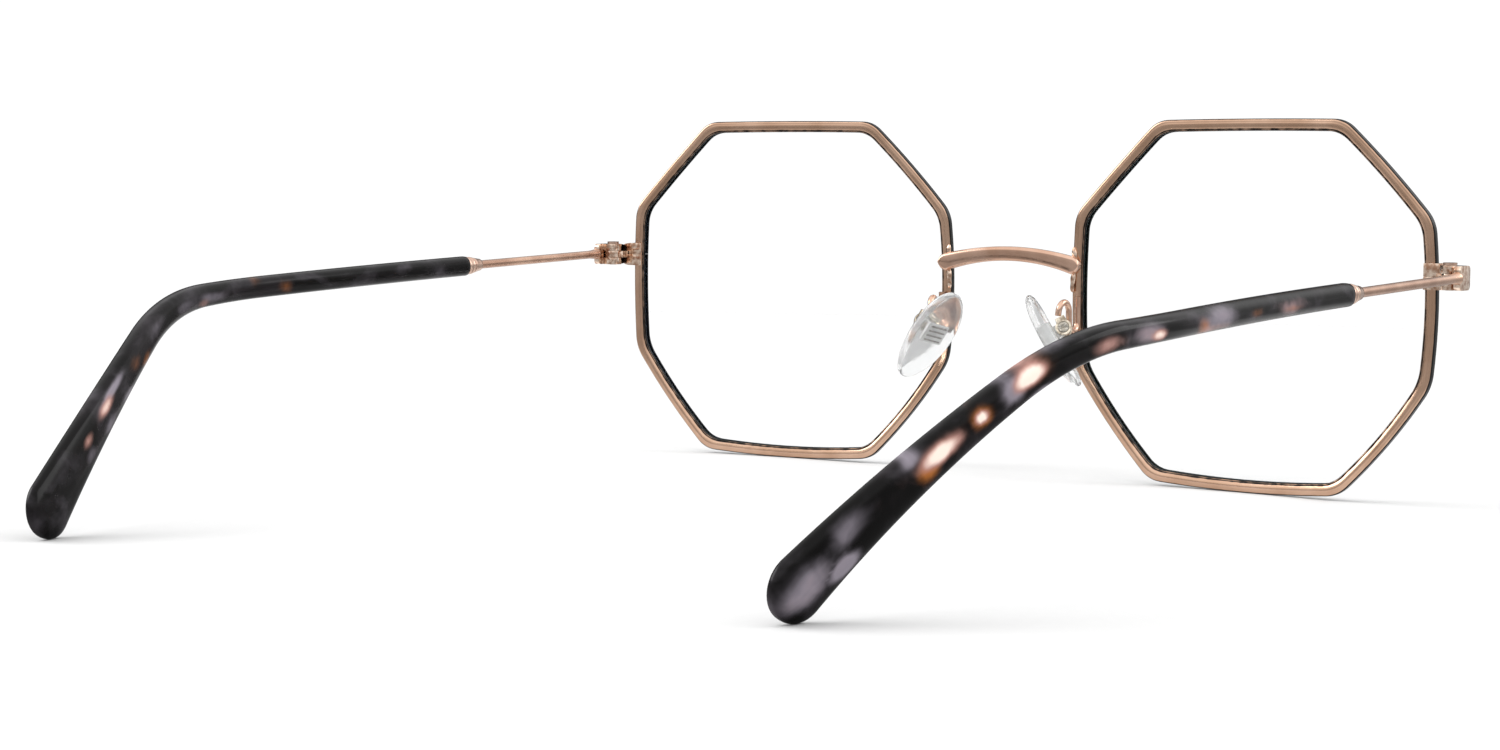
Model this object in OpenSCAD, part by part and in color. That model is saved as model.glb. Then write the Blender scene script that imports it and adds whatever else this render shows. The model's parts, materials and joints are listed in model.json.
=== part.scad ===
// Geometric eyeglasses: an octagonal metal front, wire temples with acetate tips and adjustable nose pads.
// Front frame: X across (plus is the wearer's left), Y back along the temples, Z up.
// Its zero lies midway between the lenses.
// The parts are drawn in that frame and then stood on the table: rims and tips touch Z = 0.

/* [Lens] */
// Width of one lens inside its groove, the eye size
eye_w = 52; // [46:0.5:56]
// Height of one lens inside its groove
eye_h = 49.4; // [44:0.2:54]
// Gap between the two lenses at the nose, the bridge size
bridge_gap = 22; // [18:0.5:26]
// Length of the flat run along the top of a lens
top_flat = 27.7; // [22:0.1:31]
// Length of the flat run along the bottom of a lens
bottom_flat = 28.4; // [22:0.1:31]
// Length of the upright run at each side of a lens
side_flat = 22; // [16:0.1:26]
// Height of the middle of the upright runs above the lens middle
side_rise = 1.3; // [-3:0.1:3]
// How far the top run bows out
top_bow = 0.14; // [0:0.02:1]
// How far the two upper slanting runs bow out
upper_bow = 0.22; // [0:0.02:1]
// How far the upright runs bow out
side_bow = 0.52; // [0:0.02:1.2]
// How far the two lower slanting runs bow out
lower_bow = 0.58; // [0:0.02:1.2]
// How far the bottom run bows out
bottom_bow = 0.68; // [0:0.02:1.4]
// Length that each corner round takes off its runs
corner_run = 1.7; // [0.6:0.1:3]
// Radius of the sphere that the lenses and rims are curved to
base_radius = 144; // [100:1:400]
// Angle at which each lens wraps back towards its temple
wrap = 4.6; // [0:0.1:9]
// Thickness of the lens inside the rim
lens_t = 1.3; // [1:0.05:1.36]
// Thickness of the lens edge that sits in the groove
lens_edge_t = 0.6; // [0.4:0.05:0.7]
// Gap all round between lens and rim
lens_gap = 0.05; // [0.02:0.01:0.1]

/* [Rim] */
// Width of the rim seen from behind
rim_w = 1.67; // [1.4:0.01:2.2]
// Depth of the rim from front to back
rim_d = 1.56; // [1.5:0.01:2.4]
// Depth of the lens groove in the inner wall
groove_depth = 0.5; // [0.3:0.05:0.8]
// Saw cut that opens the rim at the closing block
split_gap = 0.15; // [0.1:0.05:0.5]

/* [Bridge] */
// Height of the bridge bar in its middle
bridge_h = 2.1; // [1.4:0.05:3]
// Height of the bridge bar at its flared ends
bridge_end_h = 2.6; // [2:0.05:3.4]
// Thickness of the bridge bar from front to back
bridge_t = 1.3; // [0.8:0.05:2]
// Height of the top of the arch's middle line above the lens middle
bridge_rise = 6.45; // [2:0.05:12]
// Radius of the arch's middle line
bridge_radius = 36; // [20:1:80]
// Overlap of the bar's end on the back of the rim
bridge_lap = 1.6; // [0.8:0.05:1.65]
// Solder film between soldered pieces
solder_gap = 0.02; // [0.01:0.01:0.05]

/* [Closing block] */
// Height of the block over both halves
block_h = 3.5; // [3:0.1:5]
// Distance that the block stands out from the rim
block_reach = 1.65; // [1.6:0.05:3]
// Distance from the back of the rim to the back of the block
block_back = 0.8; // [0.6:0.05:1.2]
// Radius of the screw that closes the rim
rim_screw_r = 0.4; // [0.3:0.05:0.45]
// Radius of that screw's head
rim_screw_head_r = 0.6; // [0.5:0.05:0.6]
// Depth of the recess for that head
rim_head_depth = 0.45; // [0.3:0.05:0.6]
// Play around that screw in the upper half of the block
screw_play = 0.05; // [0.03:0.01:0.08]
// Radius of the block's corners
block_corner = 0.4; // [0.2:0.05:0.5]

/* [Hinge] */
// Height of the hinge's middle above the lens middle
hinge_z = 5; // [-6:0.1:9]
// Distance from the block's back to the hinge pin
pin_back = 1.55; // [1.5:0.05:2.2]
// Distance by which the hinge pin lies outside the block's end
pin_out = 0.75; // [0.5:0.05:1]
// Radius of the hinge knuckles
knuckle_r = 1.35; // [1.1:0.05:1.4]
// Height of the hinge over its three knuckles
hinge_h = 3.2; // [2.8:0.1:5]
// Height of the middle knuckle
middle_knuckle_h = 1; // [0.8:0.05:1.2]
// How much smaller the middle knuckle's radius is
knuckle_inset = 0.2; // [0.15:0.05:0.4]
// Overlap of the middle knuckle's neck on the back of the block
neck_lap = 1.1; // [0.8:0.05:1.2]
// Running gap between neighbouring knuckles
knuckle_gap = 0.06; // [0.04:0.01:0.1]
// Radius of the hinge pin
pin_r = 0.55; // [0.45:0.05:0.6]
// Running gap around the pin in the front's knuckle
pin_gap = 0.04; // [0.02:0.01:0.08]
// Radius of the hinge screw's head
pin_head_r = 0.9; // [0.8:0.05:1]
// Height of the hinge screw's head
pin_head_h = 0.35; // [0.2:0.05:0.6]
// Thickness of the plate at the end of the temple
plate_t = 0.9; // [0.7:0.05:1.3]
// Length of that plate
plate_l = 3.4; // [3:0.1:5]
// Radius of that plate's corners
plate_corner = 0.6; // [0.3:0.05:0.9]
// How far both screws end inside their holes
screw_inset = 0.1; // [0.05:0.05:0.2]

/* [Temple] */
// Length from the hinge pin to the end of the tip, along the temple
temple_length = 140; // [130:1:150]
// Radius of the temple wire
wire_r = 0.62; // [0.5:0.01:0.64]
// Radius of the wire's flare at the end plate
flare_r = 0.84; // [0.7:0.01:0.9]
// Length of that flare
flare_l = 2.2; // [1:0.1:4]
// Length of bare wire from the end plate to the ferrule
bare_wire = 30.5; // [20:0.5:32]
// Length of the ferrule
ferrule_l = 3.7; // [3:0.1:6]
// Radius of the ferrule at its thick end
ferrule_r = 1.35; // [1:0.05:1.38]
// Angle by which the left temple stands inwards of its stop
left_fold = 0; // [0:0.1:30]
// Angle by which the right temple stands inwards of its stop
right_fold = 5.2; // [0:0.1:30]

/* [Tip] */
// Height of the acetate tip where it starts
tip_h = 2.85; // [2.8:0.05:3.6]
// Height of the acetate tip at the paddle
paddle_h = 7; // [5:0.1:8]
// How late the tip grows to its paddle, as a power of the distance
paddle_growth = 2.2; // [1:0.1:3]
// Thickness of the acetate tip across, ahead of the bend
tip_t = 2.85; // [2.8:0.05:3.4]
// Thickness of the paddle across, at its end
paddle_t = 2.2; // [2.1:0.1:2.8]
// Angle by which the tip's inner side rolls to face upwards behind the bend
tip_roll = 9.5; // [0:0.5:16]
// Distance along the temple at which the bend starts
bend_at = 88; // [78:1:94]
// Distance along the temple over which it bends
bend_run = 16; // [12:1:26]
// Length ahead of the bend over which the temple eases into it
bend_lead = 12; // [8:1:16]
// Slope of the temple ahead of the bend
slope = 1.5; // [0:0.1:4]
// Slope of the temple just behind the bend
bend_slope = 31; // [20:1:38]
// Slope of the temple at the end of the tip
end_slope = 39.5; // [36:0.5:46]
// Angle by which the tip turns inwards behind the bend
inward = 22; // [5:0.5:26]
// Room around the wire inside the tip
core_gap = 0.05; // [0.02:0.01:0.1]
// Length of solid acetate behind the end of the wire's core
core_short = 10; // [8:1:20]

/* [Nose pads] */
// Length of a nose pad
pad_l = 15; // [12:0.1:16]
// Width of a nose pad
pad_w = 7.8; // [6.4:0.1:9]
// Thickness of a nose pad
pad_t = 2.3; // [2:0.1:2.6]
// How much wider the pad is above its middle, as a share
pad_taper = 0.08; // [0:0.01:0.2]
// How fast the pad's ends curve away from the nose
pad_bow = 0.007; // [0:0.001:0.008]
// Distance of a pad's middle from the centre line of the nose
pad_x = 9.7; // [9:0.05:12]
// Distance of a pad's middle behind the lens plane
pad_y = 6.95; // [6.5:0.05:8]
// Height of a pad's middle below the lens middle
pad_drop = 5.75; // [4:0.05:8]
// Angle by which the pads spread downwards
pad_spread = 33.5; // [25:0.5:40]
// Angle by which the pads open towards the face
pad_splay = 25; // [15:0.5:35]
// Distance from the pad's middle to its rocking axis
pad_boss = 2.5; // [2.3:0.05:3]
// Height of the rocking axis above the pad's middle
pad_rise = 0.8; // [0:0.1:1]
// Radius of the boss on the pad insert
boss_r = 0.9; // [0.8:0.05:0.95]
// Thickness of that boss along the rocking axis
boss_t = 1.3; // [1:0.05:1.5]
// Radius of the pad box
box_r = 1.15; // [1.1:0.05:1.25]
// Thickness of the cheeks of the pad box
cheek_t = 0.5; // [0.4:0.05:0.6]
// Thickness of the web that joins the cheeks
web_t = 0.5; // [0.4:0.05:0.7]
// Radius of the pad screw
pad_screw_r = 0.4; // [0.35:0.05:0.45]
// Depth to which its head sits in the rear cheek
head_sink = 0.3; // [0.2:0.05:0.35]
// Running gap between the pad's boss and its box and screw
pad_gap = 0.05; // [0.03:0.01:0.08]
// Radius of the pad arm's wire
arm_r = 0.45; // [0.35:0.05:0.5]
// Height of the arm's foot on the rim above the lens middle
arm_start = 0.5; // [0:0.1:1.5]
// Height at which the arm turns over towards the box
arm_top = -1.4; // [-1.6:0.1:-0.4]
// Height at which the arm turns back up from its foot
arm_bottom = -3.2; // [-4:0.1:-3]

/* [Hidden] */
$fn = 48;
LEFT = 1;
RIGHT = -1;
rose_gold = [0.72, 0.53, 0.45];
pale_gold = [0.80, 0.66, 0.56];
steel = [0.75, 0.74, 0.72];
acetate = [0.16, 0.13, 0.14];
clear_lens = [0.85, 0.92, 0.95, 0.3];
clear_pad = [0.90, 0.91, 0.92, 0.6];
// A cut runs this far past the faces that it opens
past = 1;

// Lens outline. The corners go round counter-clockwise, with U out to the temple and V up.
lip = rim_w - groove_depth;
lens_x = (eye_w + bridge_gap) / 2;
half_u = eye_w / 2 + lip - side_bow;
half_v = eye_h / 2 + lip;
corners = [
    [bottom_flat / 2, bottom_bow - half_v], [half_u, side_rise - side_flat / 2],
    [half_u, side_rise + side_flat / 2], [top_flat / 2, half_v - top_bow],
    [-top_flat / 2, half_v - top_bow], [-half_u, side_rise + side_flat / 2],
    [-half_u, side_rise - side_flat / 2], [-bottom_flat / 2, bottom_bow - half_v]
];
bows = [lower_bow, side_bow, upper_bow, top_bow, upper_bow, side_bow, lower_bow, bottom_bow];
bow_steps = 5;
corner_steps = 4;

function unit(v) = v / norm(v);
function inward(a, b) = unit([a.y - b.y, b.x - a.x]);
// Corner i moved in so that both of its runs move in by d
function inset(i, d) =
    let (before = inward(corners[(i + 7) % 8], corners[i]),
        after = inward(corners[i], corners[(i + 1) % 8]))
    corners[i] + d * (before + after) / (1 + before * after);
// Point at the share t along run i, bowed out
function on_run(i, d, t) =
    let (a = inset(i, d), b = inset((i + 1) % 8, d))
    a + (b - a) * t - 4 * t * (1 - t) * bows[i] * inward(a, b);
function run_share(i, d) = corner_run / norm(inset((i + 1) % 8, d) - inset(i, d));
function rounded(a, b, c, t) = (1 - t) * (1 - t) * a + 2 * t * (1 - t) * b + t * t * c;
// The whole outline, moved in from the rim's outer edge by d
function outline(d) = [
    for (i = [0:7])
        let (next = (i + 1) % 8, c = run_share(i, d), from = on_run(i, d, 1 - c))
        each concat(
            [for (k = [0:bow_steps]) on_run(i, d, c + (1 - 2 * c) * k / bow_steps)],
            [for (k = [1:corner_steps - 1])
                rounded(from, inset(next, d), on_run(next, d, run_share(next, d)), k / corner_steps)]
        )
];
// Distance that the base curve falls back at a radius from the lens middle
function sag(radius) = base_radius - sqrt(base_radius * base_radius - radius * radius);

// Depths on the base curve, measured forward from the back of the rim
groove_w = lens_edge_t + 2 * lens_gap;
groove_mid = rim_d / 2;

// Closing block and hinge, in the front frame on the wearer's left
rim_edge = [
    lens_x + (half_u + side_bow) * cos(wrap) - sag(half_u) * sin(wrap),
    half_u * sin(wrap) + sag(half_u) * cos(wrap)
];
// The block's side face clears the rim's front edge, which wraps furthest out
block_face = rim_edge.x + rim_d * sin(wrap) + solder_gap;
block_x = rim_edge.x + block_reach;
block_y = rim_edge.y + block_back;
block_inset = 0.1;
block_front = rim_edge.y - rim_d + block_inset;
// Back of the rim at its outermost point beside the block's top corner
block_seat = (half_u + side_bow) * sin(wrap)
    + sag(norm([half_u + side_bow, hinge_z + block_h / 2])) * cos(wrap) + solder_gap;
rim_screw_at = [(block_face + block_x) / 2, (block_front + block_y) / 2];
pin = [block_x + pin_out, block_y + pin_back];
// The end plate lies just outside the knuckles
plate_x = pin.x + knuckle_r - 0.05;
plate_end = pin.y - knuckle_r + plate_l;

// Path of the temple. Its distance s starts where the wire leaves the end plate.
wire_start = [plate_x + plate_t / 2, plate_end, hinge_z];
path_l = temple_length - (plate_end - pin.y);
bend_end = bend_at + bend_run;
straight_end = bend_at - bend_lead;
sleeve_at = bare_wire + ferrule_l;
core_end = path_l - core_short;
paddle_at = path_l - paddle_h / 2;
slopes = [[0, slope], [sleeve_at, slope], [straight_end, slope + 1], [bend_at, slope + 2.6],
    [bend_end, bend_slope], [path_l, end_slope]];
turns = [[0, 0.7], [sleeve_at, 0.7], [straight_end, -1.2], [bend_at, inward * 0.38],
    [bend_end, inward], [path_l, inward - 3.8]];

function slope_at(s) = lookup(s, slopes);
function turn_at(s) = lookup(s, turns);
function heading(s) = [
    -sin(turn_at(s)) * cos(slope_at(s)), cos(turn_at(s)) * cos(slope_at(s)), -sin(slope_at(s))
];
function level(s) = [cos(turn_at(s)), sin(turn_at(s)), 0];
function roll_at(s) = lookup(s, [[straight_end, 0], [bend_end, tip_roll]]);
function across(s) = level(s) * cos(roll_at(s)) - cross(level(s), heading(s)) * sin(roll_at(s));
trail = [for (i = 0, p = wire_start; i <= path_l + 1; i = i + 1, p = p + heading(i - 0.5)) p];
function along_path(s) = trail[floor(s)] + (s - floor(s)) * heading((s + floor(s)) / 2);
// A ring of points round the path: a flattened round with half-height h and half-thickness t
ring_n = 20;
function power(v, e) = sign(v) * pow(abs(v), e);
function path_ring(s, h, t, squareness = 0.8) =
    let (side = across(s), up = cross(side, heading(s)))
    [for (k = [0:ring_n - 1])
        let (a = -360 * k / ring_n)
        along_path(s) + t * power(cos(a), squareness) * side + h * power(sin(a), squareness) * up];

// Half-height and half-thickness of the acetate tip along the path
function tip_half_h(s) =
    let (share = max(0, s - straight_end) / (paddle_at - straight_end))
    tip_h / 2 + (paddle_h - tip_h) / 2 * pow(min(share, 1), paddle_growth);
function tip_half_t(s) = lookup(s, [[bend_end, tip_t / 2], [path_l, paddle_t / 2]]);
tip_stations = concat([sleeve_at, sleeve_at + 0.4], [for (s = [sleeve_at + 4:4:straight_end]) s],
    [for (s = [straight_end + 2:2:paddle_at - 1]) s]);
function tip_round(a) = path_l - paddle_h / 2 * (1 - sin(a));
// Ring of the rounded end at the angle a from its widest place
function end_ring(a) = path_ring(tip_round(a), paddle_h / 2 * cos(a), tip_half_t(path_l) * sqrt(cos(a)));

// Stand of the glasses: the rims' lowest run and the rounded tips rest on the table
rim_low = [sag(half_v), -half_v];
tip_centre = along_path(paddle_at);
tip_end = [for (a = [0:18:72]) each end_ring(a)];
lowest = min([for (p = tip_end) p.z]);
tip_low = [for (p = tip_end) if (p.z == lowest) [p.y, p.z]][0];
stand_angle = atan((tip_low.y - rim_low.y) / (tip_low.x - rim_low.x));
stand_lift = rim_low.x * sin(stand_angle) - rim_low.y * cos(stand_angle);

// Middle of the whole object, seen from above
function folded(p, angle) = [
    pin.x + (p.x - pin.x) * cos(angle) - (p.y - pin.y) * sin(angle),
    pin.y + (p.x - pin.x) * sin(angle) + (p.y - pin.y) * cos(angle)
];
function reach_x(angle) = max(
    folded([plate_x + plate_t, pin.y - knuckle_r], angle).x,
    max([for (s = tip_stations, p = path_ring(s, tip_half_h(s), tip_half_t(s))) folded(p, angle).x])
);
function reach_y(angle) = max([for (p = concat(tip_end, end_ring(86))) folded(p, angle).y]);
front_y = -base_radius * pow(sin(wrap), 2) / 2 - groove_mid - lens_t / 2;
back_y = max(reach_y(left_fold), reach_y(right_fold)) * cos(stand_angle) + tip_centre.z * sin(stand_angle);
mid_x = (reach_x(left_fold) - reach_x(right_fold)) / 2;
mid_y = (front_y + back_y) / 2;

// Nose pad, in its own frame: X away from the nose, Y along the rocking axis, Z up along the pad
web_low = boss_r + 0.17;
web_out = [-0.5, 0.9];
pad_head_r = pad_screw_r * 1.85;
insert_size = [0.7, 3.8, 3];
pad_n = 24;
// A point of the pad's frame in the front frame
function pad_point(p) =
    let (x = p.x * cos(pad_splay) + p.y * sin(pad_splay), y = p.y * cos(pad_splay) - p.x * sin(pad_splay))
    [pad_x + x * cos(pad_spread) - p.z * sin(pad_spread), pad_y + y,
        -pad_drop + x * sin(pad_spread) + p.z * cos(pad_spread)];
// An oval ring of the pad, drawn in by a share and bowed away from the nose at its ends
function pad_ring(tilt) = [
    for (k = [0:pad_n - 1])
        let (a = 360 * k / pad_n, draw = pow(cos(tilt), 0.45), z = pad_l / 2 * draw * sin(a))
        [pad_t / 2 * sin(tilt) + z * z * pad_bow, pad_w / 2 * draw * cos(a) * (1 + pad_taper * sin(a)), z]
];

// Pad arm: down the back of the rim, round, up, over and down into the box
nose_edge_u = half_u + side_bow;
nose_edge = [
    lens_x - nose_edge_u * cos(wrap) - sag(nose_edge_u) * sin(wrap),
    sag(nose_edge_u) * cos(wrap) - nose_edge_u * sin(wrap)
];
arm_end = pad_point([pad_boss + (web_out.x + web_out.y) / 2, 0, pad_rise + web_low + web_t + arm_r]);
arm_foot = [nose_edge.x + rim_w * 0.75, nose_edge.y + 0.12 + arm_r];
arm_mid_y = (arm_foot.y + arm_end.y) / 2;
function turn_points(from_y, to_y, z, up) =
    let (r = (to_y - from_y) / 2)
    [for (a = [0:20:180]) [from_y + r - r * cos(a), z + (up ? 1 : -1) * r * sin(a)]];
arm_route = concat(
    [[arm_foot.y, arm_start]], turn_points(arm_foot.y, arm_mid_y, arm_bottom, false),
    turn_points(arm_mid_y, arm_end.y, arm_top, true), [[arm_end.y, arm_end.z]]
);
function arm_point(k) =
    let (p = arm_route[k], share = pow(k / (len(arm_route) - 1), 2))
    [arm_foot.x + (arm_end.x - arm_foot.x) * share, p.x, p.y];
function arm_ring(k) =
    let (last = len(arm_route) - 1, ahead = unit(arm_point(min(k + 1, last)) - arm_point(max(k - 1, 0))),
        side = unit(cross([1, 0, 0], ahead)), out = cross(ahead, side))
    [for (i = [0:11]) arm_point(k) + arm_r * (cos(30 * i) * side + sin(30 * i) * out)];

// The back of the rim where the bridge lies on it
bridge_seat = nose_edge.y + 0.15 + solder_gap;

module stand() {
    translate([-mid_x, -mid_y, stand_lift]) rotate([-stand_angle, 0, 0]) children();
}

module on_side(side) {
    stand() mirror([side < 0 ? 1 : 0, 0, 0]) children();
}

module on_temple(side) {
    on_side(side)
        translate([pin.x, pin.y, 0])
            rotate([0, 0, side > 0 ? left_fold : right_fold])
                translate([-pin.x, -pin.y, 0]) children();
}

module on_lens() {
    translate([lens_x, 0, 0]) rotate([0, 0, wrap]) children();
}

module on_pad() {
    translate([pad_x, pad_y, -pad_drop]) rotate([0, -pad_spread, 0]) rotate([0, 0, -pad_splay]) children();
}

// Slab of the lens outline, curved to the base sphere, between two depths ahead of the rim's back
module curved_slab(d, back, front) {
    centre = [0, base_radius, 0];
    reach = sag(eye_w) + rim_d;
    difference() {
        intersection() {
            translate([0, reach, 0]) rotate([90, 0, 0]) linear_extrude(2 * reach) polygon(outline(d));
            translate(centre) sphere(base_radius + front, $fn = 180);
        }
        translate(centre) sphere(base_radius + back, $fn = 180);
    }
}

module rim(side) {
    color(rose_gold) on_side(side) difference() {
        on_lens() difference() {
            curved_slab(0, 0, rim_d);
            curved_slab(rim_w, -past, rim_d + past);
            curved_slab(rim_w - groove_depth, groove_mid - groove_w / 2, groove_mid + groove_w / 2);
        }
        translate([rim_edge.x - past - rim_w, -past, hinge_z - split_gap / 2])
            cube([2 * past + rim_w, 3 * past + block_y, split_gap]);
    }
}

module lens(side) {
    color(clear_lens) on_side(side) on_lens() {
        curved_slab(rim_w + lens_gap, groove_mid - lens_t / 2, groove_mid + lens_t / 2);
        curved_slab(rim_w - groove_depth + lens_gap,
            groove_mid - lens_edge_t / 2, groove_mid + lens_edge_t / 2);
    }
}

// Closed skin over a row of rings that all have the same number of points
module skin(rings) {
    n = len(rings[0]);
    last = (len(rings) - 1) * n;
    polyhedron(
        points = [for (ring = rings) each ring],
        faces = concat(
            [[for (k = [0:n - 1]) k]],
            [for (r = [0:len(rings) - 2], k = [0:n - 1])
                each [[r * n + k, (r + 1) * n + k, (r + 1) * n + (k + 1) % n],
                    [r * n + k, (r + 1) * n + (k + 1) % n, r * n + (k + 1) % n]]],
            [[for (k = [n - 1:-1:0]) last + k]]
        )
    );
}

module rounded_bar(length, height, r) {
    for (x = [r, length - r], y = [r - height / 2, height / 2 - r])
        translate([x, y]) circle(r);
    translate([r, -height / 2]) square([length - 2 * r, height]);
    translate([0, r - height / 2]) square([length, height - 2 * r]);
}

module bridge() {
    end_x = nose_edge.x + bridge_lap - bridge_end_h / 2;
    // The flare bends the top edge less than the middle line, and the bottom edge more
    flare = (bridge_end_h - bridge_h) / (end_x * end_x);
    top_r = 1 / (1 / bridge_radius - flare);
    low_r = 1 / (1 / bridge_radius + flare);
    end_z = sqrt(bridge_radius * bridge_radius - end_x * end_x) - bridge_radius;
    color(rose_gold) stand() translate([0, bridge_seat + bridge_t, bridge_rise])
        rotate([90, 0, 0]) linear_extrude(bridge_t) {
            intersection() {
                difference() {
                    translate([0, bridge_h / 2 - top_r]) circle(top_r, $fn = 180);
                    translate([0, -bridge_h / 2 - low_r]) circle(low_r, $fn = 180);
                }
                translate([-end_x, -end_x]) square([2 * end_x, 2 * end_x]);
            }
            for (s = [LEFT, RIGHT]) translate([s * end_x, end_z]) circle(bridge_end_h / 2);
        }
}

// Outline of the closing block from behind, tapering to the hinge from a given start
module block_outline(start) {
    r = block_corner;
    polygon([
        [start, -block_h / 2], [block_face + r, -block_h / 2], [block_x - r, -hinge_h / 2],
        [block_x, r - hinge_h / 2], [block_x, hinge_h / 2 - r], [block_x - r, hinge_h / 2],
        [block_face + r, block_h / 2], [start, block_h / 2]
    ]);
}

// Half of the block: beside the rim, and lapped over the back of the rim
module closing_block(side, half) {
    color(pale_gold) on_side(side) difference() {
        translate([0, block_y, hinge_z]) rotate([90, 0, 0]) intersection() {
            union() {
                linear_extrude(block_y - block_front) block_outline(block_face);
                linear_extrude(block_y - block_seat) block_outline(rim_edge.x - rim_w + block_inset);
            }
            translate([0, half > 0 ? split_gap / 2 : -block_h, -past])
                cube([2 * block_x, block_h - split_gap / 2, block_y]);
        }
        translate([rim_screw_at.x, rim_screw_at.y, hinge_z - block_h])
            cylinder(r = rim_screw_r + (half > 0 ? screw_play : solder_gap), h = 2 * block_h);
        translate([rim_screw_at.x, rim_screw_at.y, hinge_z + block_h / 2 - rim_head_depth])
            cylinder(r = rim_screw_head_r + screw_play, h = block_h);
    }
}

// A slotted screw head, drawn up from its seat
module slotted_head(r, h) {
    difference() {
        cylinder(r = r, h = h);
        translate([-2 * r, -r / 8, h / 2]) cube([4 * r, r / 4, h]);
    }
}

module rim_screw(side) {
    seat = hinge_z + block_h / 2 - rim_head_depth + solder_gap;
    color(steel) on_side(side) translate([rim_screw_at.x, rim_screw_at.y, 0]) {
        translate([0, 0, hinge_z - block_h / 2 + screw_inset])
            cylinder(r = rim_screw_r, h = block_h - rim_head_depth);
        translate([0, 0, seat]) slotted_head(rim_screw_head_r, rim_head_depth * 2 / 3);
    }
}

// Middle knuckle of the hinge, soldered to the lower half of the closing block
module front_knuckle(side) {
    h = middle_knuckle_h;
    low = hinge_z - h / 2;
    neck_x = block_x - neck_lap;
    neck_w = pin.x - neck_x;
    // The upper half of the neck stays clear of the upper half of the block
    clear_y = block_y + 0.12;
    color(pale_gold) on_side(side) difference() {
        union() {
            translate([pin.x, pin.y, low]) cylinder(r = knuckle_r - knuckle_inset, h = h);
            translate([neck_x, clear_y, low]) cube([neck_w, pin.y - clear_y, h]);
            translate([neck_x, block_y + solder_gap, low])
                cube([neck_w, pin.y - block_y, h / 2 - split_gap / 2]);
        }
        translate([pin.x, pin.y, low - past]) cylinder(r = pin_r + pin_gap, h = h + 2 * past);
    }
}

module hinge_screw(side) {
    color(steel) on_temple(side) translate([pin.x, pin.y, hinge_z]) {
        translate([0, 0, screw_inset - hinge_h / 2]) cylinder(r = pin_r, h = hinge_h);
        translate([0, 0, hinge_h / 2 + solder_gap]) slotted_head(pin_head_r, pin_head_h);
    }
}

// Two outer knuckles on the end plate of the temple
module temple_hinge(side) {
    inner_z = middle_knuckle_h / 2 + knuckle_gap;
    leaf_h = hinge_h / 2 - inner_z;
    leaf_w = knuckle_r * 1.5;
    color(pale_gold) on_temple(side) difference() {
        union() {
            for (z = [hinge_z + inner_z, hinge_z - hinge_h / 2]) {
                translate([pin.x, pin.y, z]) cylinder(r = knuckle_r, h = leaf_h);
                translate([pin.x, pin.y - leaf_w / 2, z])
                    cube([plate_x - pin.x + plate_t / 2, leaf_w, leaf_h]);
            }
            translate([plate_x, pin.y - knuckle_r, hinge_z]) rotate([90, 0, 90])
                linear_extrude(plate_t) rounded_bar(plate_l, hinge_h, plate_corner);
        }
        translate([pin.x, pin.y, hinge_z - hinge_h])
            cylinder(r = pin_r + solder_gap, h = 2 * hinge_h);
    }
}

module on_path(s) {
    translate(along_path(s)) rotate([-90 - slope_at(s), 0, turn_at(s)]) children();
}

// Bare wire with a flare at the end plate, and its core that runs on inside the tip
module temple_wire(side) {
    core_r = wire_r - 0.06;
    from = 2 * solder_gap;
    core_stations = concat([sleeve_at - 1], [for (s = [sleeve_at + 4:4:straight_end]) s],
        [for (s = [straight_end + 2:2:core_end]) s]);
    color(rose_gold) on_temple(side) {
        on_path(0) rotate_extrude() polygon([
            [0, from], [flare_r, from], [wire_r, flare_l], [wire_r, sleeve_at], [0, sleeve_at]
        ]);
        skin([for (s = core_stations) path_ring(s, core_r, core_r, 1)]);
    }
}

// Stepped ferrule: a cone, a groove and two rings
module ferrule(side) {
    bore = wire_r + solder_gap;
    small = wire_r + 0.28;
    neck = ferrule_r - 0.25;
    ring = ferrule_r - 0.08;
    l = ferrule_l - solder_gap;
    color(pale_gold) on_temple(side) on_path(bare_wire) rotate_extrude()
        polygon([
            [bore, 0], [small - 0.1, 0], [small, 0.12], [neck, l * 0.5], [neck, l * 0.56],
            [ring, l * 0.6], [ring, l * 0.72], [neck, l * 0.76], [neck, l * 0.8],
            [ferrule_r, l * 0.84], [ferrule_r, l], [bore, l]
        ]);
}

// Acetate tip: flattened round that grows to a paddle, with a blind hole for the core
module temple_tip(side) {
    hole = wire_r + core_gap;
    rounding = 0.15;
    hole_stations = concat([core_end + 0.4], [for (s = [core_end - 2:-4:straight_end]) s],
        [for (k = [3:-1:0]) sleeve_at + (straight_end - sleeve_at) * k / 4]);
    color(acetate) on_temple(side) skin(concat(
        [for (s = hole_stations) path_ring(s, hole, hole, 1)],
        [path_ring(sleeve_at, tip_h / 2 - rounding, tip_t / 2 - rounding)],
        [for (s = tip_stations) if (s > sleeve_at) path_ring(s, tip_half_h(s), tip_half_t(s))],
        [for (a = [0:18:72]) end_ring(a)], [end_ring(86)]
    ));
}

module pad_arm(side) {
    color(rose_gold) on_side(side) skin([for (k = [0:len(arm_route) - 1]) arm_ring(k)]);
}

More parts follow.
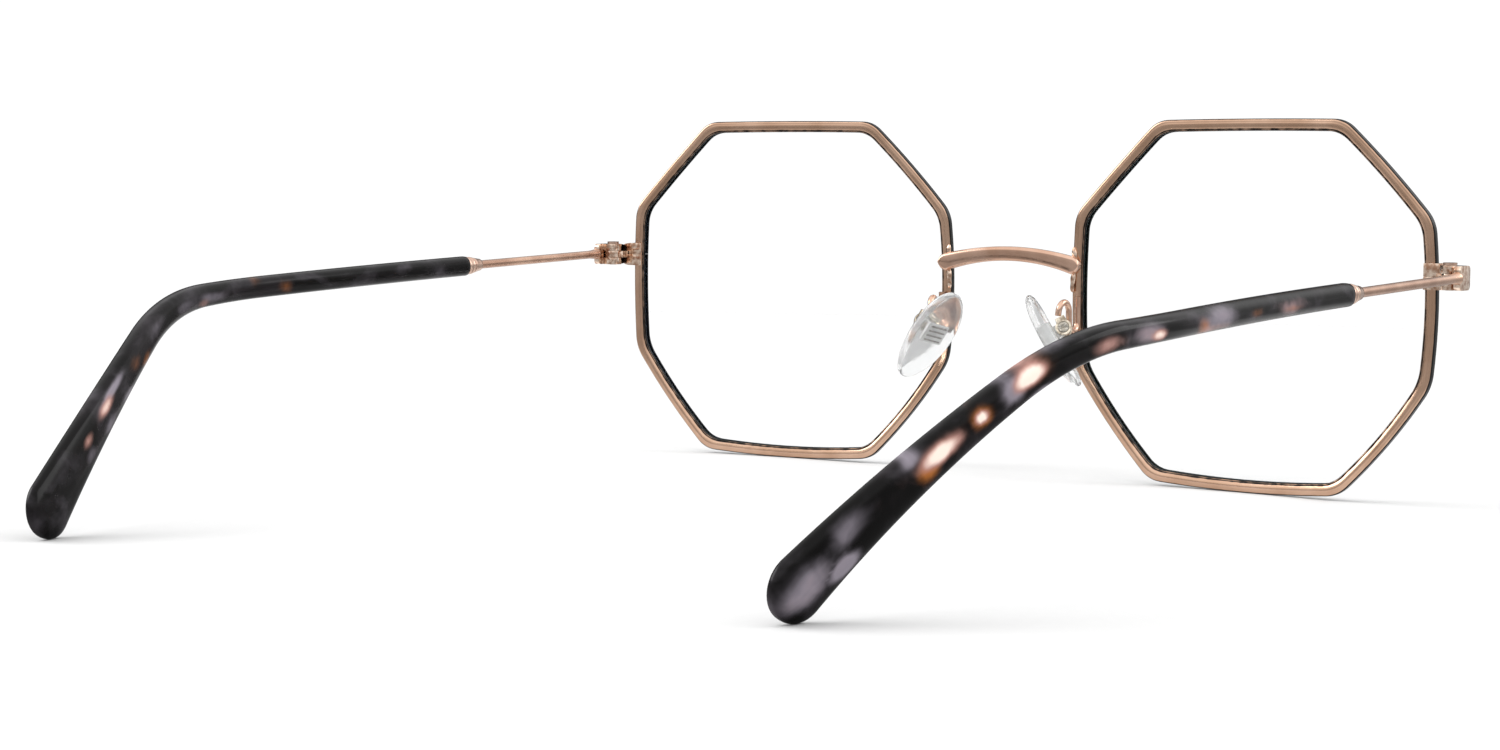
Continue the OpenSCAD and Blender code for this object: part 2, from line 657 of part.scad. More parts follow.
// Open box: two cheeks joined above the boss
module pad_box(side) {
    cheek_y = boss_t / 2 + pad_gap;
    wide = cheek_y + cheek_t;
    web_w = web_out.y - web_out.x;
    color(pale_gold) on_side(side) on_pad() translate([pad_boss, 0, pad_rise]) difference() {
        union() {
            for (y = [-wide, cheek_y]) {
                translate([0, y + cheek_t, 0]) rotate([90, 0, 0]) cylinder(r = box_r, h = cheek_t);
                translate([web_out.x, y, 0]) cube([web_w, cheek_t, web_low + web_t]);
            }
            translate([web_out.x, -wide, web_low]) cube([web_w, 2 * wide, web_t]);
        }
        translate([0, 2 * wide, 0]) rotate([90, 0, 0])
            cylinder(r = pad_screw_r + solder_gap, h = 4 * wide);
        translate([0, wide + past, 0]) rotate([90, 0, 0])
            cylinder(r = pad_head_r + 4 * solder_gap, h = past + head_sink);
    }
}

module pad_screw(side) {
    reach = boss_t / 2 + pad_gap + cheek_t;
    seat = reach - head_sink + solder_gap;
    color(steel) on_side(side) on_pad() translate([pad_boss, 0, pad_rise]) {
        translate([0, seat + head_sink / 3, 0]) rotate([90, 0, 0]) cylinder(r = pad_screw_r, h = seat + reach);
        translate([0, seat, 0]) rotate([-90, 0, 0]) slotted_head(pad_head_r, head_sink);
    }
}

// Plate inside the pad, with the boss that turns on the pad screw
module insert_body(grow) {
    size = insert_size + 2 * grow * [1, 1, 1];
    translate([-size.x / 2, -size.y / 2, pad_rise - size.z / 2]) cube(size);
    translate([0, -boss_t / 2 - grow, pad_rise - boss_r - grow])
        cube([pad_boss, boss_t + 2 * grow, 2 * (boss_r + grow)]);
}

module pad_insert(side) {
    color(clear_pad) on_side(side) on_pad() difference() {
        union() {
            insert_body(0);
            translate([pad_boss, boss_t / 2, pad_rise]) rotate([90, 0, 0]) cylinder(r = boss_r, h = boss_t);
        }
        translate([pad_boss, boss_t, pad_rise]) rotate([90, 0, 0])
            cylinder(r = pad_screw_r + pad_gap, h = 2 * boss_t);
    }
}

module nose_pad(side) {
    color(clear_pad) on_side(side) on_pad() difference() {
        skin([for (tilt = [-84, -62, -38, -13, 13, 38, 62, 84]) pad_ring(tilt)]);
        insert_body(solder_gap);
    }
}

rim(LEFT);  // rim_left
rim(RIGHT);  // rim_right
lens(LEFT);  // lens_left
lens(RIGHT);  // lens_right
bridge();
closing_block(LEFT, 1);  // closing_block_upper_left
closing_block(RIGHT, 1);  // closing_block_upper_right
closing_block(LEFT, -1);  // closing_block_lower_left
closing_block(RIGHT, -1);  // closing_block_lower_right
rim_screw(LEFT);  // rim_screw_left
rim_screw(RIGHT);  // rim_screw_right
front_knuckle(LEFT);  // front_knuckle_left
front_knuckle(RIGHT);  // front_knuckle_right
hinge_screw(LEFT);  // hinge_screw_left
hinge_screw(RIGHT);  // hinge_screw_right
temple_hinge(LEFT);  // temple_hinge_left
temple_hinge(RIGHT);  // temple_hinge_right
temple_wire(LEFT);  // temple_wire_left
temple_wire(RIGHT);  // temple_wire_right
ferrule(LEFT);  // ferrule_left
ferrule(RIGHT);  // ferrule_right
temple_tip(LEFT);  // temple_tip_left
temple_tip(RIGHT);  // temple_tip_right
pad_arm(LEFT);  // pad_arm_left
pad_arm(RIGHT);  // pad_arm_right
pad_box(LEFT);  // pad_box_left
pad_box(RIGHT);  // pad_box_right
pad_screw(LEFT);  // pad_screw_left
pad_screw(RIGHT);  // pad_screw_right
pad_insert(LEFT);  // pad_insert_left
pad_insert(RIGHT);  // pad_insert_right
nose_pad(LEFT);  // nose_pad_left
nose_pad(RIGHT);  // nose_pad_right
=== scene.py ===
"""Octagonal eyeglasses with wire temples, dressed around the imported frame.

Every size is in millimetres in the front frame of the glasses, as in the part's source: X across with
plus at the wearer's left, Y back along the temples, Z up, zero between the lenses. Stand turns them to
metres in the row frame.
"""

from __future__ import annotations

import json
import logging
import math
from dataclasses import dataclass, field
from enum import Enum
from functools import partial

import bmesh
import bpy
import numpy as np
from mathutils import Matrix, Vector

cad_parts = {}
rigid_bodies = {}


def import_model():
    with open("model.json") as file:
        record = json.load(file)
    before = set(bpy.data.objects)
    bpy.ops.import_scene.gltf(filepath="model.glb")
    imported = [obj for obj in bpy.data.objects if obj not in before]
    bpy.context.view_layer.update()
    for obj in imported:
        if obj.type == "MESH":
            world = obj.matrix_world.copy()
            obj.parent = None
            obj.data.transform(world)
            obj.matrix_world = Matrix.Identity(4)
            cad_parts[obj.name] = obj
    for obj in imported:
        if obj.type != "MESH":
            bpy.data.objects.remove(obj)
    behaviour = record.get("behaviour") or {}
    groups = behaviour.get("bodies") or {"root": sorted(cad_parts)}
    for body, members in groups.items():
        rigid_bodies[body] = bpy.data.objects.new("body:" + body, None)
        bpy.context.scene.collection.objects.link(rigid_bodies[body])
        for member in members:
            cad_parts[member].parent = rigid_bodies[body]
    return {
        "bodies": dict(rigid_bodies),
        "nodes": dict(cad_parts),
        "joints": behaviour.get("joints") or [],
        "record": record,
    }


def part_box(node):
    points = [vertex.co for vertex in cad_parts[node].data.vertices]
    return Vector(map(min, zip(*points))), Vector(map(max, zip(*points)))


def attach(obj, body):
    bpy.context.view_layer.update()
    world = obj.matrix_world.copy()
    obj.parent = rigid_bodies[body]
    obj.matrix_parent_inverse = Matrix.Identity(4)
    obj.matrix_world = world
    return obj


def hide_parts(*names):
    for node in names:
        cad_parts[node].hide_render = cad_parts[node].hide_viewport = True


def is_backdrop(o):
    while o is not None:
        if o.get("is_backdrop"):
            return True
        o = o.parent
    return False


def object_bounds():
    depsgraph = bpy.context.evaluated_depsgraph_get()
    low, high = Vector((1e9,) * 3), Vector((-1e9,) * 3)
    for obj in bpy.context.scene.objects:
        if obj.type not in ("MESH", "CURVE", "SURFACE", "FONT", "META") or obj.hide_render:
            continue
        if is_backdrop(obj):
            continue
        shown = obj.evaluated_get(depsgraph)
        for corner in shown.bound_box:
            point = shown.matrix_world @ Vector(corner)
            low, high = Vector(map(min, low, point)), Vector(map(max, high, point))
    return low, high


LOG = logging.getLogger("glasses")
MM = 0.001
WELD_M = 2e-6
Tree = bpy.types.NodeTree
Node = bpy.types.Node
Socket = bpy.types.NodeSocket
Mesh = bpy.types.Mesh
Object = bpy.types.Object


class Side(Enum):
    """Side of the wearer."""

    LEFT = 1
    RIGHT = -1

    @property
    def tag(self) -> str:
        """The side's ending in the names of nodes and bodies."""
        return self.name.lower()

    def piece(self, name: str) -> str:
        """Name of a piece on this side."""
        return name + self.name.capitalize()


class Body(Enum):
    """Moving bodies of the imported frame. A paired body takes the side's ending."""

    FRONT = "front"
    TEMPLE = "temple_"
    NOSE_PAD = "nose_pad_"

    def on(self, side: Side) -> str:
        """Name of the body on a side."""
        return self.value if self is Body.FRONT else self.value + side.tag


# ---------------------------------------------------------------- nodes and colours


def linear(code: str) -> tuple[float, float, float, float]:
    """Turns an sRGB hex colour to linear.

    Args:
        code: Six hex digits.

    Returns:
        Linear red, green and blue, with an alpha of 1.
    """
    parts = [int(code[i : i + 2], 16) / 255 for i in (0, 2, 4)]
    red, green, blue = (p / 12.92 if p <= 0.04045 else ((p + 0.055) / 1.055) ** 2.4 for p in parts)
    return red, green, blue, 1.0


def out(node: Node, name: str | int = 0) -> Socket:
    """The output of a node by name or number, among those that are in use."""
    live = [s for s in node.outputs if s.enabled]
    return live[name] if isinstance(name, int) else next(s for s in live if s.name == name)


def add(tree: Tree, kind: str, inputs: dict | None = None, **settings: object) -> Node:
    """Adds a node with its settings and links.

    Args:
        tree: Tree that gets the node.
        kind: Type name of the node.
        inputs: For each input by name or number, its value, or the socket or node to link.
        settings: Properties of the node itself.

    Returns:
        The new node.
    """
    node = tree.nodes.new(kind)
    for name, value in settings.items():
        setattr(node, name, value)
    for key, value in (inputs or {}).items():
        socket = node.inputs[key] if isinstance(key, int) else next(
            s for s in node.inputs if s.name == key and s.enabled)
        if isinstance(value, (Node, Socket)):
            tree.links.new(out(value) if isinstance(value, Node) else value, socket)
        else:
            socket.default_value = value
    return node


def between(tree: Tree, factor: Node | Socket, first: object, second: float | tuple,
            start: float = 0.3, end: float = 0.7, reach: float = 1.0) -> Node:
    """Blends two numbers or colours smoothly while a factor goes from start to end.

    Args:
        tree: Tree that gets the nodes.
        factor: What the blend follows.
        first: Number, colour or node that holds up to start.
        second: Number or colour that holds from end.
        start: Factor at which the blend starts.
        end: Factor at which it ends.
        reach: Share of the second one that is there at the end.

    Returns:
        The node that blends them.
    """
    share = add(tree, "ShaderNodeMapRange", {
        "Value": factor, "From Min": start, "From Max": end, "To Max": reach}, interpolation_type="SMOOTHSTEP")
    kind = "RGBA" if isinstance(second, tuple) else "FLOAT"
    return add(tree, "ShaderNodeMix", {"Factor": share, "A": first, "B": second}, data_type=kind)


def grain(tree: Tree, size_mm: float, detail: float = 3) -> Node:
    """Noise from 0 to 1 in object space.

    Args:
        tree: Tree of the material.
        size_mm: Real size of one grain.
        detail: Finer layers on top of it.

    Returns:
        The noise.
    """
    place = out(add(tree, "ShaderNodeTexCoord"), "Object")
    return add(tree, "ShaderNodeTexNoise", {"Vector": place, "Scale": 1 / (size_mm * MM), "Detail": detail})


# ---------------------------------------------------------------- finishes


@dataclass(frozen=True)
class Finish:
    """A surface finish. Its material is made once, by its own name."""

    name: str

    def material(self) -> bpy.types.Material:
        """The finish as a material, built the first time.

        Returns:
            The material.
        """
        found = bpy.data.materials.get(self.name)
        if found:
            return found
        made = bpy.data.materials.new(self.name)
        made.use_nodes = True
        made.node_tree.nodes.clear()
        shader = add(made.node_tree, "ShaderNodeBsdfPrincipled", self.surface(made.node_tree))
        add(made.node_tree, "ShaderNodeOutputMaterial", {"Surface": shader})
        return made

    def surface(self, tree: Tree) -> dict[str, object]:
        """Value or node for each input that the finish sets on the shader."""
        raise NotImplementedError


@dataclass(frozen=True)
class PlatedMetal(Finish):
    """Copper-nickel alloy, barrel-polished and plated: satin, with a faint cloud of tone.

    The real grain is too fine to see, so it is drawn as soft changes of gloss 0.8 mm across.
    """

    bright: str = "D0AD95"
    deep: str = "BF9B82"
    cloud_mm: float = 5
    grain_mm: float = 0.8
    grain_depth_mm: float = 0.02
    rough: tuple[float, float] = (0.16, 0.21)
    relief: float = 0.01

    def surface(self, tree: Tree) -> dict[str, object]:
        """Tone in clouds, roughness and relief in fine grain.

        Args:
            tree: Tree of the material.

        Returns:
            Value or node for each input of the shader.
        """
        fine = grain(tree, self.grain_mm)
        depth = {"Height": fine, "Distance": self.grain_depth_mm * MM, "Strength": self.relief}
        return {
            "Base Color": between(tree, grain(tree, self.cloud_mm, 2), linear(self.deep), linear(self.bright)),
            "Metallic": 1, "Roughness": between(tree, fine, *self.rough),
            "Normal": add(tree, "ShaderNodeBump", depth)}


@dataclass(frozen=True)
class LacqueredRim(PlatedMetal):
    """Plated rim wire whose front is dipped in black lacquer up to a slightly uneven line."""

    lacquer: str = "030303"
    lacquer_rough: float = 0.25
    lacquer_shine: float = 0.2
    waver_mm: float = 1.2
    waver: float = 0.012
    soft_line: float = 0.015

    def surface(self, tree: Tree) -> dict[str, object]:
        """Plating behind the paint line, lacquer ahead of it.

        Args:
            tree: Tree of the material.

        Returns:
            Value or node for each input of the shader.
        """
        made = super().surface(tree)
        waver = between(tree, grain(tree, self.waver_mm, 2), -self.waver, self.waver)
        line = out(add(tree, "ShaderNodeAttribute", attribute_name="lacquer"), "Fac")
        ahead = add(tree, "ShaderNodeMath", {0: line, 1: waver}, operation="ADD")
        painted = between(tree, ahead, 0, 1, -self.soft_line, self.soft_line)
        for name, lacquer, kind in (("Base Color", linear(self.lacquer), "RGBA"),
                                    ("Roughness", self.lacquer_rough, "FLOAT")):
            made[name] = add(tree, "ShaderNodeMix", {
                "Factor": painted, "A": made[name], "B": lacquer}, data_type=kind)
        made["Metallic"] = between(tree, painted, 1, 0, 0, 1)
        # The metal takes nothing from this, and the thin lacquer stays deep black
        made["Specular IOR Level"] = self.lacquer_shine
        return made


@dataclass(frozen=True)
class MarbledAcetate(Finish):
    """Cellulose acetate cut from a block of mixed chips, tumbled to a soft gloss.

    Nearly black, with smoky grey, dusty pink and amber chips that let light through.
    """

    black: str = "070606"
    charcoal: str = "181517"
    smoke: str = "8D8690"
    pink: str = "B08379"
    amber: str = "A0602C"
    # Near white: painted light and painted highlight on the strongest pink chips
    glow: str = "FFE9DC"
    chip_mm: float = 5.5
    drift_mm: float = 4
    wisp_share: float = 0.22
    ripple_depth_mm: float = 0.05

    def surface(self, tree: Tree) -> dict[str, object]:
        """Chips lie along the sleeve, so the pattern follows the sleeve's own lengths in millimetres.

        Args:
            tree: Tree of the material.

        Returns:
            Value or node for each input of the shader.
        """
        node = partial(add, tree)
        where = out(node("ShaderNodeAttribute", attribute_name="sleeve"), "Vector")
        drift = out(node("ShaderNodeTexNoise", {"Vector": where, "Scale": 0.15, "Detail": 1}), "Color")
        shifted = node("ShaderNodeVectorMath", {0: drift, 1: (self.drift_mm,) * 3}, operation="MULTIPLY")
        moved = node("ShaderNodeVectorMath", {0: where, 1: shifted}, operation="ADD")
        chips = node("ShaderNodeMapping", {"Vector": moved, "Scale": (0.6, 1, 1)})
        broad = node("ShaderNodeTexNoise", {"Vector": chips, "Scale": 1 / self.chip_mm, "Detail": 3})
        wisp = node("ShaderNodeTexNoise", {
            "Vector": chips, "Scale": 1.8 / self.chip_mm, "Detail": 3, "Distortion": 0.15})
        parts = node("ShaderNodeSeparateColor", {"Color": node("ShaderNodeAttribute", attribute_name="chip")})
        tone = between(tree, broad, linear(self.black), linear(self.charcoal), 0.45, 0.62)
        tone = between(tree, wisp, tone, linear(self.smoke), 0.45, 0.95, self.wisp_share)
        edge = between(tree, wisp, -0.3, 0.3, 0.25, 0.75)
        for channel, code, reach, full in ((2, self.smoke, 0.9, 1.1), (1, self.amber, 1, 0.75),
                                           (0, self.pink, 1, 0.75)):
            shown = parts.outputs[channel]
            ragged = node("ShaderNodeMath", {0: shown, 1: edge}, operation="ADD")
            held = node("ShaderNodeMath", {0: shown, 1: ragged}, operation="MULTIPLY")
            tone = between(tree, held, tone, linear(code), 0.02, full, reach)
        # The pink chips, which come last, are painted near white where they are strongest: painted light through
        # the chip, with its painted highlight
        tone = between(tree, held, tone, linear(self.glow), 0.4, 1.25)
        ripple = node("ShaderNodeTexNoise", {"Vector": where, "Scale": 0.5, "Detail": 2})
        depth = {"Height": ripple, "Distance": self.ripple_depth_mm * MM, "Strength": 0.15}
        return {"Base Color": tone, "Roughness": 0.17, "IOR": 1.48, "Specular IOR Level": 0.13,
                "Normal": node("ShaderNodeBump", depth)}


@dataclass(frozen=True)
class ClearLens(Finish):
    """Coated resin lens: all but clear, with a weak green-blue sheen at a slant."""

    sheen: tuple[str, str] = ("5F7A74", "5D6C8A")
    film_mm: float = 40
    opacity: tuple[float, float] = (0.012, 0.16)

    def surface(self, tree: Tree) -> dict[str, object]:
        """Opacity rises towards the edge of sight, where the coating reflects.

        Args:
            tree: Tree of the material.

        Returns:
            Value or node for each input of the shader.
        """
        slant = out(add(tree, "ShaderNodeLayerWeight", {"Blend": 0.35}), "Facing")
        tint = between(tree, grain(tree, self.film_mm, 1), *map(linear, self.sheen))
        return {"Base Color": tint, "Alpha": between(tree, slant, *self.opacity, 0.35, 1), "Roughness": 0.04,
                "IOR": 1.5}


@dataclass(frozen=True)
class ClearSilicone(Finish):
    """Moulded clear silicone: soft gloss, lets light through, faintly milky."""

    milk: str = "F9FAFA"
    body: str = "FFFFFF"
    through: float = 0.9
    bend: float = 1.38
    cloud_mm: float = 2
    ripple_depth_mm: float = 0.08

    def surface(self, tree: Tree) -> dict[str, object]:
        """Clear body with a weak cloud and the soft ripple of the mould.

        Args:
            tree: Tree of the material.

        Returns:
            Value or node for each input of the shader.
        """
        cloud = grain(tree, self.cloud_mm, 2)
        depth = {"Height": cloud, "Distance": self.ripple_depth_mm * MM, "Strength": 0.25}
        return {"Base Color": between(tree, cloud, linear(self.milk), linear(self.body)),
                "Roughness": between(tree, cloud, 0.06, 0.16), "Transmission Weight": self.through,
                "IOR": self.bend, "Normal": add(tree, "ShaderNodeBump", depth)}


@dataclass(frozen=True)
class Paper(Finish):
    """Matt white background paper."""

    whites: tuple[str, str] = ("C9C9C9", "CCCCCC")
    mirrored: str = "8A8A8A"
    tooth_mm: float = 1.5
    rims_at: float = 0.065

    def surface(self, tree: Tree) -> dict[str, object]:
        """White with a faint tooth. In reflections only it is painted grey away from under the rims: painted shade,
        so the metal mirrors it as lit just under the rims and dim farther out.

        Args:
            tree: Tree of the material.

        Returns:
            Value or node for each input of the shader.
        """
        node = partial(add, tree)
        back = node("ShaderNodeSeparateXYZ", {0: out(node("ShaderNodeTexCoord"), "Object")}).outputs[1]
        behind = node("ShaderNodeMath", {0: back, 1: self.rims_at}, operation="ADD")
        away = node("ShaderNodeMath", {0: behind}, operation="ABSOLUTE")
        # Painted shade: only in reflections, the paper turns grey away from under the rims
        glossy = out(node("ShaderNodeLightPath"), "Is Glossy Ray")
        far = between(tree, away, 0, 1, 0.012, 0.07)
        dim = node("ShaderNodeMath", {0: far, 1: glossy}, operation="MULTIPLY")
        tone, white = grain(tree, self.tooth_mm, 2), linear(self.whites[0])
        for factor, code in ((tone, self.whites[1]), (dim, self.mirrored)):
            white = node("ShaderNodeMix", {"Factor": factor, "A": white, "B": linear(code)}, data_type="RGBA")
        return {"Base Color": white, "Roughness": 0.9, "Specular IOR Level": 0.1}


RIM_PLATING = LacqueredRim("Satin rose gold plating with black lacquer front")
WIRE_PLATING = PlatedMetal("Satin rose gold plating on drawn wire", bright="CBA791", deep="AE8A76",
                           rough=(0.22, 0.28))
BRIDGE_PLATING = PlatedMetal("Polished rose gold plating on bridge", bright="DDB9A4", deep="C49D86",
                             rough=(0.1, 0.16))
# Cast and brazed pieces keep a livelier surface under the same plating, so they sparkle
HINGE_PLATING = PlatedMetal("Polished rose gold plating on milled hinge", bright="FFE8D4", deep="B48A70",
                            cloud_mm=0.7, grain_mm=0.5, rough=(0.06, 0.16), relief=0.9)
# Painted shade: colour of the dark sheet that fills the hinge gap, where there is only shadow
HINGE_GAP_SHADE = PlatedMetal("Darkened solder at hinge", bright="3A2A22", deep="120C0A", rough=(0.3, 0.4))
TURNED_PLATING = PlatedMetal("Polished rose gold plating on turned ferrule", bright="DDC0AE", deep="C8A694",
                             cloud_mm=2, rough=(0.16, 0.22))
BOX_PLATING = PlatedMetal("Polished pale gold plating on pad box", bright="EFE4D2", deep="8F8373",
                          cloud_mm=0.8, grain_mm=0.25, rough=(0.08, 0.2), relief=0.6)
SCREW_STEEL = PlatedMetal("Nickel-plated screw", bright="CFCAC0", deep="A39C90", cloud_mm=0.5,
                          grain_mm=0.1, rough=(0.2, 0.32), relief=0.3)
ACETATE = MarbledAcetate("Tumbled marbled acetate")
LENS = ClearLens("Coated clear resin lens")
SILICONE = ClearSilicone("Moulded clear silicone")
INSERT = ClearSilicone("Moulded clear polycarbonate insert", body="E4E4E2", through=0.5, bend=1.45)
RIBS = PlatedMetal("Nickel-plated insert ribs", bright="A19D99", deep="716D6A", cloud_mm=0.4,
                   grain_mm=0.1, rough=(0.2, 0.35), relief=0.1)
PAPER = Paper("Matt white paper")


# ---------------------------------------------------------------- placing and meshes


@dataclass(frozen=True)
class Stand:
    """How the glasses stand on the table: tilted until rims and tips touch it, and centred."""

    tilt: float = 0.960138
    middle: tuple[float, float] = (0.320068, 68.0443)
    lift: float = 25.9056
    pin: tuple[float, float] = (66.283, 6.96682)
    folds: tuple[float, float] = (0.0, 5.2)

    def fold(self, side: Side) -> float:
        """Angle by which a temple stands inwards of its stop."""
        return self.folds[0 if side is Side.LEFT else 1]

    def turn(self, side: Side, on_temple: bool) -> np.ndarray:
        """Turning part of the placement.

        Args:
            side: Side that the piece is on.
            on_temple: Whether the piece swings with the temple.

        Returns:
            A 3 by 3 matrix.
        """
        a = math.radians(self.fold(side) if on_temple else 0)
        swing = np.array([[math.cos(a), -math.sin(a), 0], [math.sin(a), math.cos(a), 0], [0, 0, 1]])
        t = math.radians(self.tilt)
        tip = np.array([[1, 0, 0], [0, math.cos(t), math.sin(t)], [0, -math.sin(t), math.cos(t)]])
        return tip @ np.diag([side.value, 1, 1]) @ swing

    def place(self, points: np.ndarray, side: Side = Side.LEFT, on_temple: bool = False) -> np.ndarray:
        """Points in millimetres in the front frame as metres in the row frame.

        Args:
            points: Rows of X, Y, Z, drawn for the wearer's left.
            side: Side that the piece is on.
            on_temple: Whether the piece swings with the temple.

        Returns:
            The placed points, row by row.
        """
        pivot = np.array([*self.pin, 0.0]) if on_temple else np.zeros(3)
        whole, still = self.turn(side, on_temple), self.turn(side, False)
        moved = (np.asarray(points, float) - pivot) @ whole.T + pivot @ still.T
        return (moved + [-self.middle[0], -self.middle[1], self.lift]) * MM

    def unplace(self, points: np.ndarray) -> np.ndarray:
        """Points in metres in the row frame as millimetres in the front frame."""
        return (np.asarray(points, float) / MM + [*self.middle, -self.lift]) @ self.turn(Side.LEFT, False)


STAND = Stand()


def outward(mesh: Mesh) -> None:
    """Turns a closed mesh's faces outwards, by the sign of its volume.

    Args:
    mesh: Mesh to turn.
    """
    shape = bmesh.new()
    shape.from_mesh(mesh)
    if shape.calc_volume(signed=True) < 0:
        bmesh.ops.reverse_faces(shape, faces=shape.faces)
        shape.to_mesh(mesh)
    shape.free()


def smooth(mesh: Mesh, sharp: float = 40) -> None:
    """Shades a mesh smooth, but for edges sharper than an angle in degrees.

    Args:
    mesh: Mesh to shade.
    sharp: The angle.
    """
    mesh.polygons.foreach_set("use_smooth", [True] * len(mesh.polygons))
    mesh.set_sharp_from_angle(angle=math.radians(sharp))
    mesh.update()


def new_object(name: str, mesh: Mesh) -> Object:
    """Puts a mesh into the scene.

    Args:
    name: Name of the object.
    mesh: Its mesh.

    Returns:
    The new object.
    """
    made = bpy.data.objects.new(name, mesh)
    bpy.context.scene.collection.objects.link(made)
    return made


def mesh_piece(name: str, points: np.ndarray, faces: list, sharp: float = 40,
               marks: dict[str, np.ndarray] | None = None) -> Object:
    """A piece from points and faces.

    Args:
        name: Name of the piece.
        points: Points in metres in the row frame.
        faces: Corner numbers of each face.
        sharp: Angle in degrees from which an edge stays sharp.
        marks: Number for each point, by attribute name.

    Returns:
        The new object.
    """
    mesh = bpy.data.meshes.new(name)
    mesh.from_pydata([tuple(p) for p in points], [], faces)
    for mark, values in (marks or {}).items():
        mesh.attributes.new(mark, "FLOAT", "POINT").data.foreach_set("value", np.asarray(values, np.float32))
    outward(mesh)
    smooth(mesh, sharp)
    return new_object(name, mesh)


def skin_faces(rows: int, columns: int) -> list[list[int]]:
    """Four-cornered faces between rings of points, with an end face on the first and the last.

    Args:
        rows: Number of rings.
        columns: Points in each ring.

    Returns:
        Corner numbers of each face.
    """
    faces = []
    for r in range(rows - 1):
        for c in range(columns):
            beside = (c + 1) % columns
            faces.append([r * columns + c, (r + 1) * columns + c, (r + 1) * columns + beside, r * columns + beside])
    return faces + [list(range(columns)), [(rows - 1) * columns + c for c in reversed(range(columns))]]


def baked(obj: Object, keep_name: str) -> Object:
    """Turns an object with modifiers into a plain piece.

    Args:
        obj: Object whose modifiers make the shape. It is removed.
        keep_name: Name of the new piece.

    Returns:
        The plain piece.
    """
    bpy.context.view_layer.update()
    graph = bpy.context.evaluated_depsgraph_get()
    mesh = bpy.data.meshes.new_from_object(
        obj.evaluated_get(graph), preserve_all_data_layers=True, depsgraph=graph)
    bpy.data.objects.remove(obj)
    mesh.name = keep_name
    outward(mesh)
    smooth(mesh)
    return new_object(keep_name, mesh)


def rounded_edges(obj: Object, name: str, width_mm: float, angle: float = 32, segments: int = 3) -> Object:
    """Rounds a piece's sharp edges and makes it plain.

    Args:
        obj: Piece to round. It is removed.
        name: Name of the new piece.
        width_mm: Width of the rounding.
        angle: Angle in degrees from which an edge is rounded.
        segments: Faces across the rounding.

    Returns:
        The plain piece.
    """
    bevel = obj.modifiers.new("Bevel", "BEVEL")
    bevel.width = width_mm * MM
    bevel.segments = segments
    bevel.limit_method = "ANGLE"
    bevel.angle_limit = math.radians(angle)
    bevel.use_clamp_overlap = True
    return baked(obj, name)


def machined(frame: dict, node: str, name: str, width_mm: float, seam: tuple = ()) -> Object:
    """A copy of a CAD node with its triangles merged and its edges rounded.

    Args:
        node: Name of the CAD node.
        name: Name of the new piece.
        width_mm: Width of the rounding.
        seam: Heights in the front frame of a face to close up: where it is, and where it goes.

    Returns:
        The plain piece.
    """
    shape = bmesh.new()
    shape.from_mesh(frame["nodes"][node].data)
    bmesh.ops.remove_doubles(shape, verts=shape.verts, dist=WELD_M)
    bmesh.ops.dissolve_limit(shape, angle_limit=math.radians(1), verts=shape.verts, edges=shape.edges)
    if seam:
        for vertex in shape.verts:
            height = STAND.unplace([vertex.co])[0][2]
            if abs(height - seam[0]) < 0.01:
                vertex.co.z += (seam[1] - seam[0]) * MM
    mesh = bpy.data.meshes.new(name + ".raw")
    shape.to_mesh(mesh)
    shape.free()
    return rounded_edges(new_object(name + ".raw", mesh), name, width_mm)


def deliver(piece: Object, finish: Finish, slot: str, body: str, *nodes: str) -> None:
    """Dresses a piece and hands it to the frame.

    Args:
        piece: The finished piece.
        finish: Its finish.
        slot: Material slot of the record for this piece; not used.
        body: Body that it moves with.
        nodes: CAD nodes that it stands for.
    """
    piece.data.materials.clear()
    piece.data.materials.append(finish.material())
    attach(piece, body)
    if nodes:
        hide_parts(*nodes)
        lows, highs = zip(*(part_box(n) for n in nodes))
        low = [min(b[i] for b in lows) for i in range(3)]
        high = [max(b[i] for b in highs) for i in range(3)]
        points = np.array([v.co for v in piece.data.vertices])
        off = max(abs(points.min(0) - low).max(), abs(points.max(0) - high).max()) / MM
        LOG.info("%s: %d faces, within %.2f mm of its solid's box", piece.name, len(piece.data.polygons), off)
    else:
        LOG.info("%s: %d faces", piece.name, len(piece.data.polygons))


# ---------------------------------------------------------------- pieces by Geometry Nodes


@dataclass
class Stations:
    """Stations of a sweep: where each ring stands, which way it faces and how wide it is."""

    points: list = field(default_factory=list)
    across: list = field(default_factory=list)
    upward: list = field(default_factory=list)
    half_t: list = field(default_factory=list)
    half_h: list = field(default_factory=list)
    run: list = field(default_factory=list)

    def put(self, point: np.ndarray, across: np.ndarray, upward: np.ndarray, t: float, h: float,
            run: float) -> None:
        """Adds a ring with its half-thickness, half-height and distance along the sweep."""
        for row, value in zip(vars(self).values(), (point, across, upward, t, h, run)):
            row.append(value)

    def object(self, name: str, side: Side, on_temple: bool) -> Object:
        """The stations as a row of loose points in the row frame, with their sizes in metres.

        Args:
            name: Name of the object.
            side: Side that the piece is on.
            on_temple: Whether the piece swings with the temple.

        Returns:
            The object.
        """
        mesh = bpy.data.meshes.new(name)
        mesh.from_pydata([tuple(p) for p in STAND.place(np.array(self.points), side, on_temple)], [], [])
        turn = STAND.turn(side, on_temple)
        for mark, rows in (("across", self.across), ("upward", self.upward)):
            data = (np.array(rows) @ turn.T).astype(np.float32)
            mesh.attributes.new(mark, "FLOAT_VECTOR", "POINT").data.foreach_set("vector", data.ravel())
        for mark, row, scale in (("half_t", self.half_t, MM), ("half_h", self.half_h, MM), ("run", self.run, 1)):
            data = np.array(row, np.float32) * scale
            mesh.attributes.new(mark, "FLOAT", "POINT").data.foreach_set("value", data)
        return new_object(name, mesh)


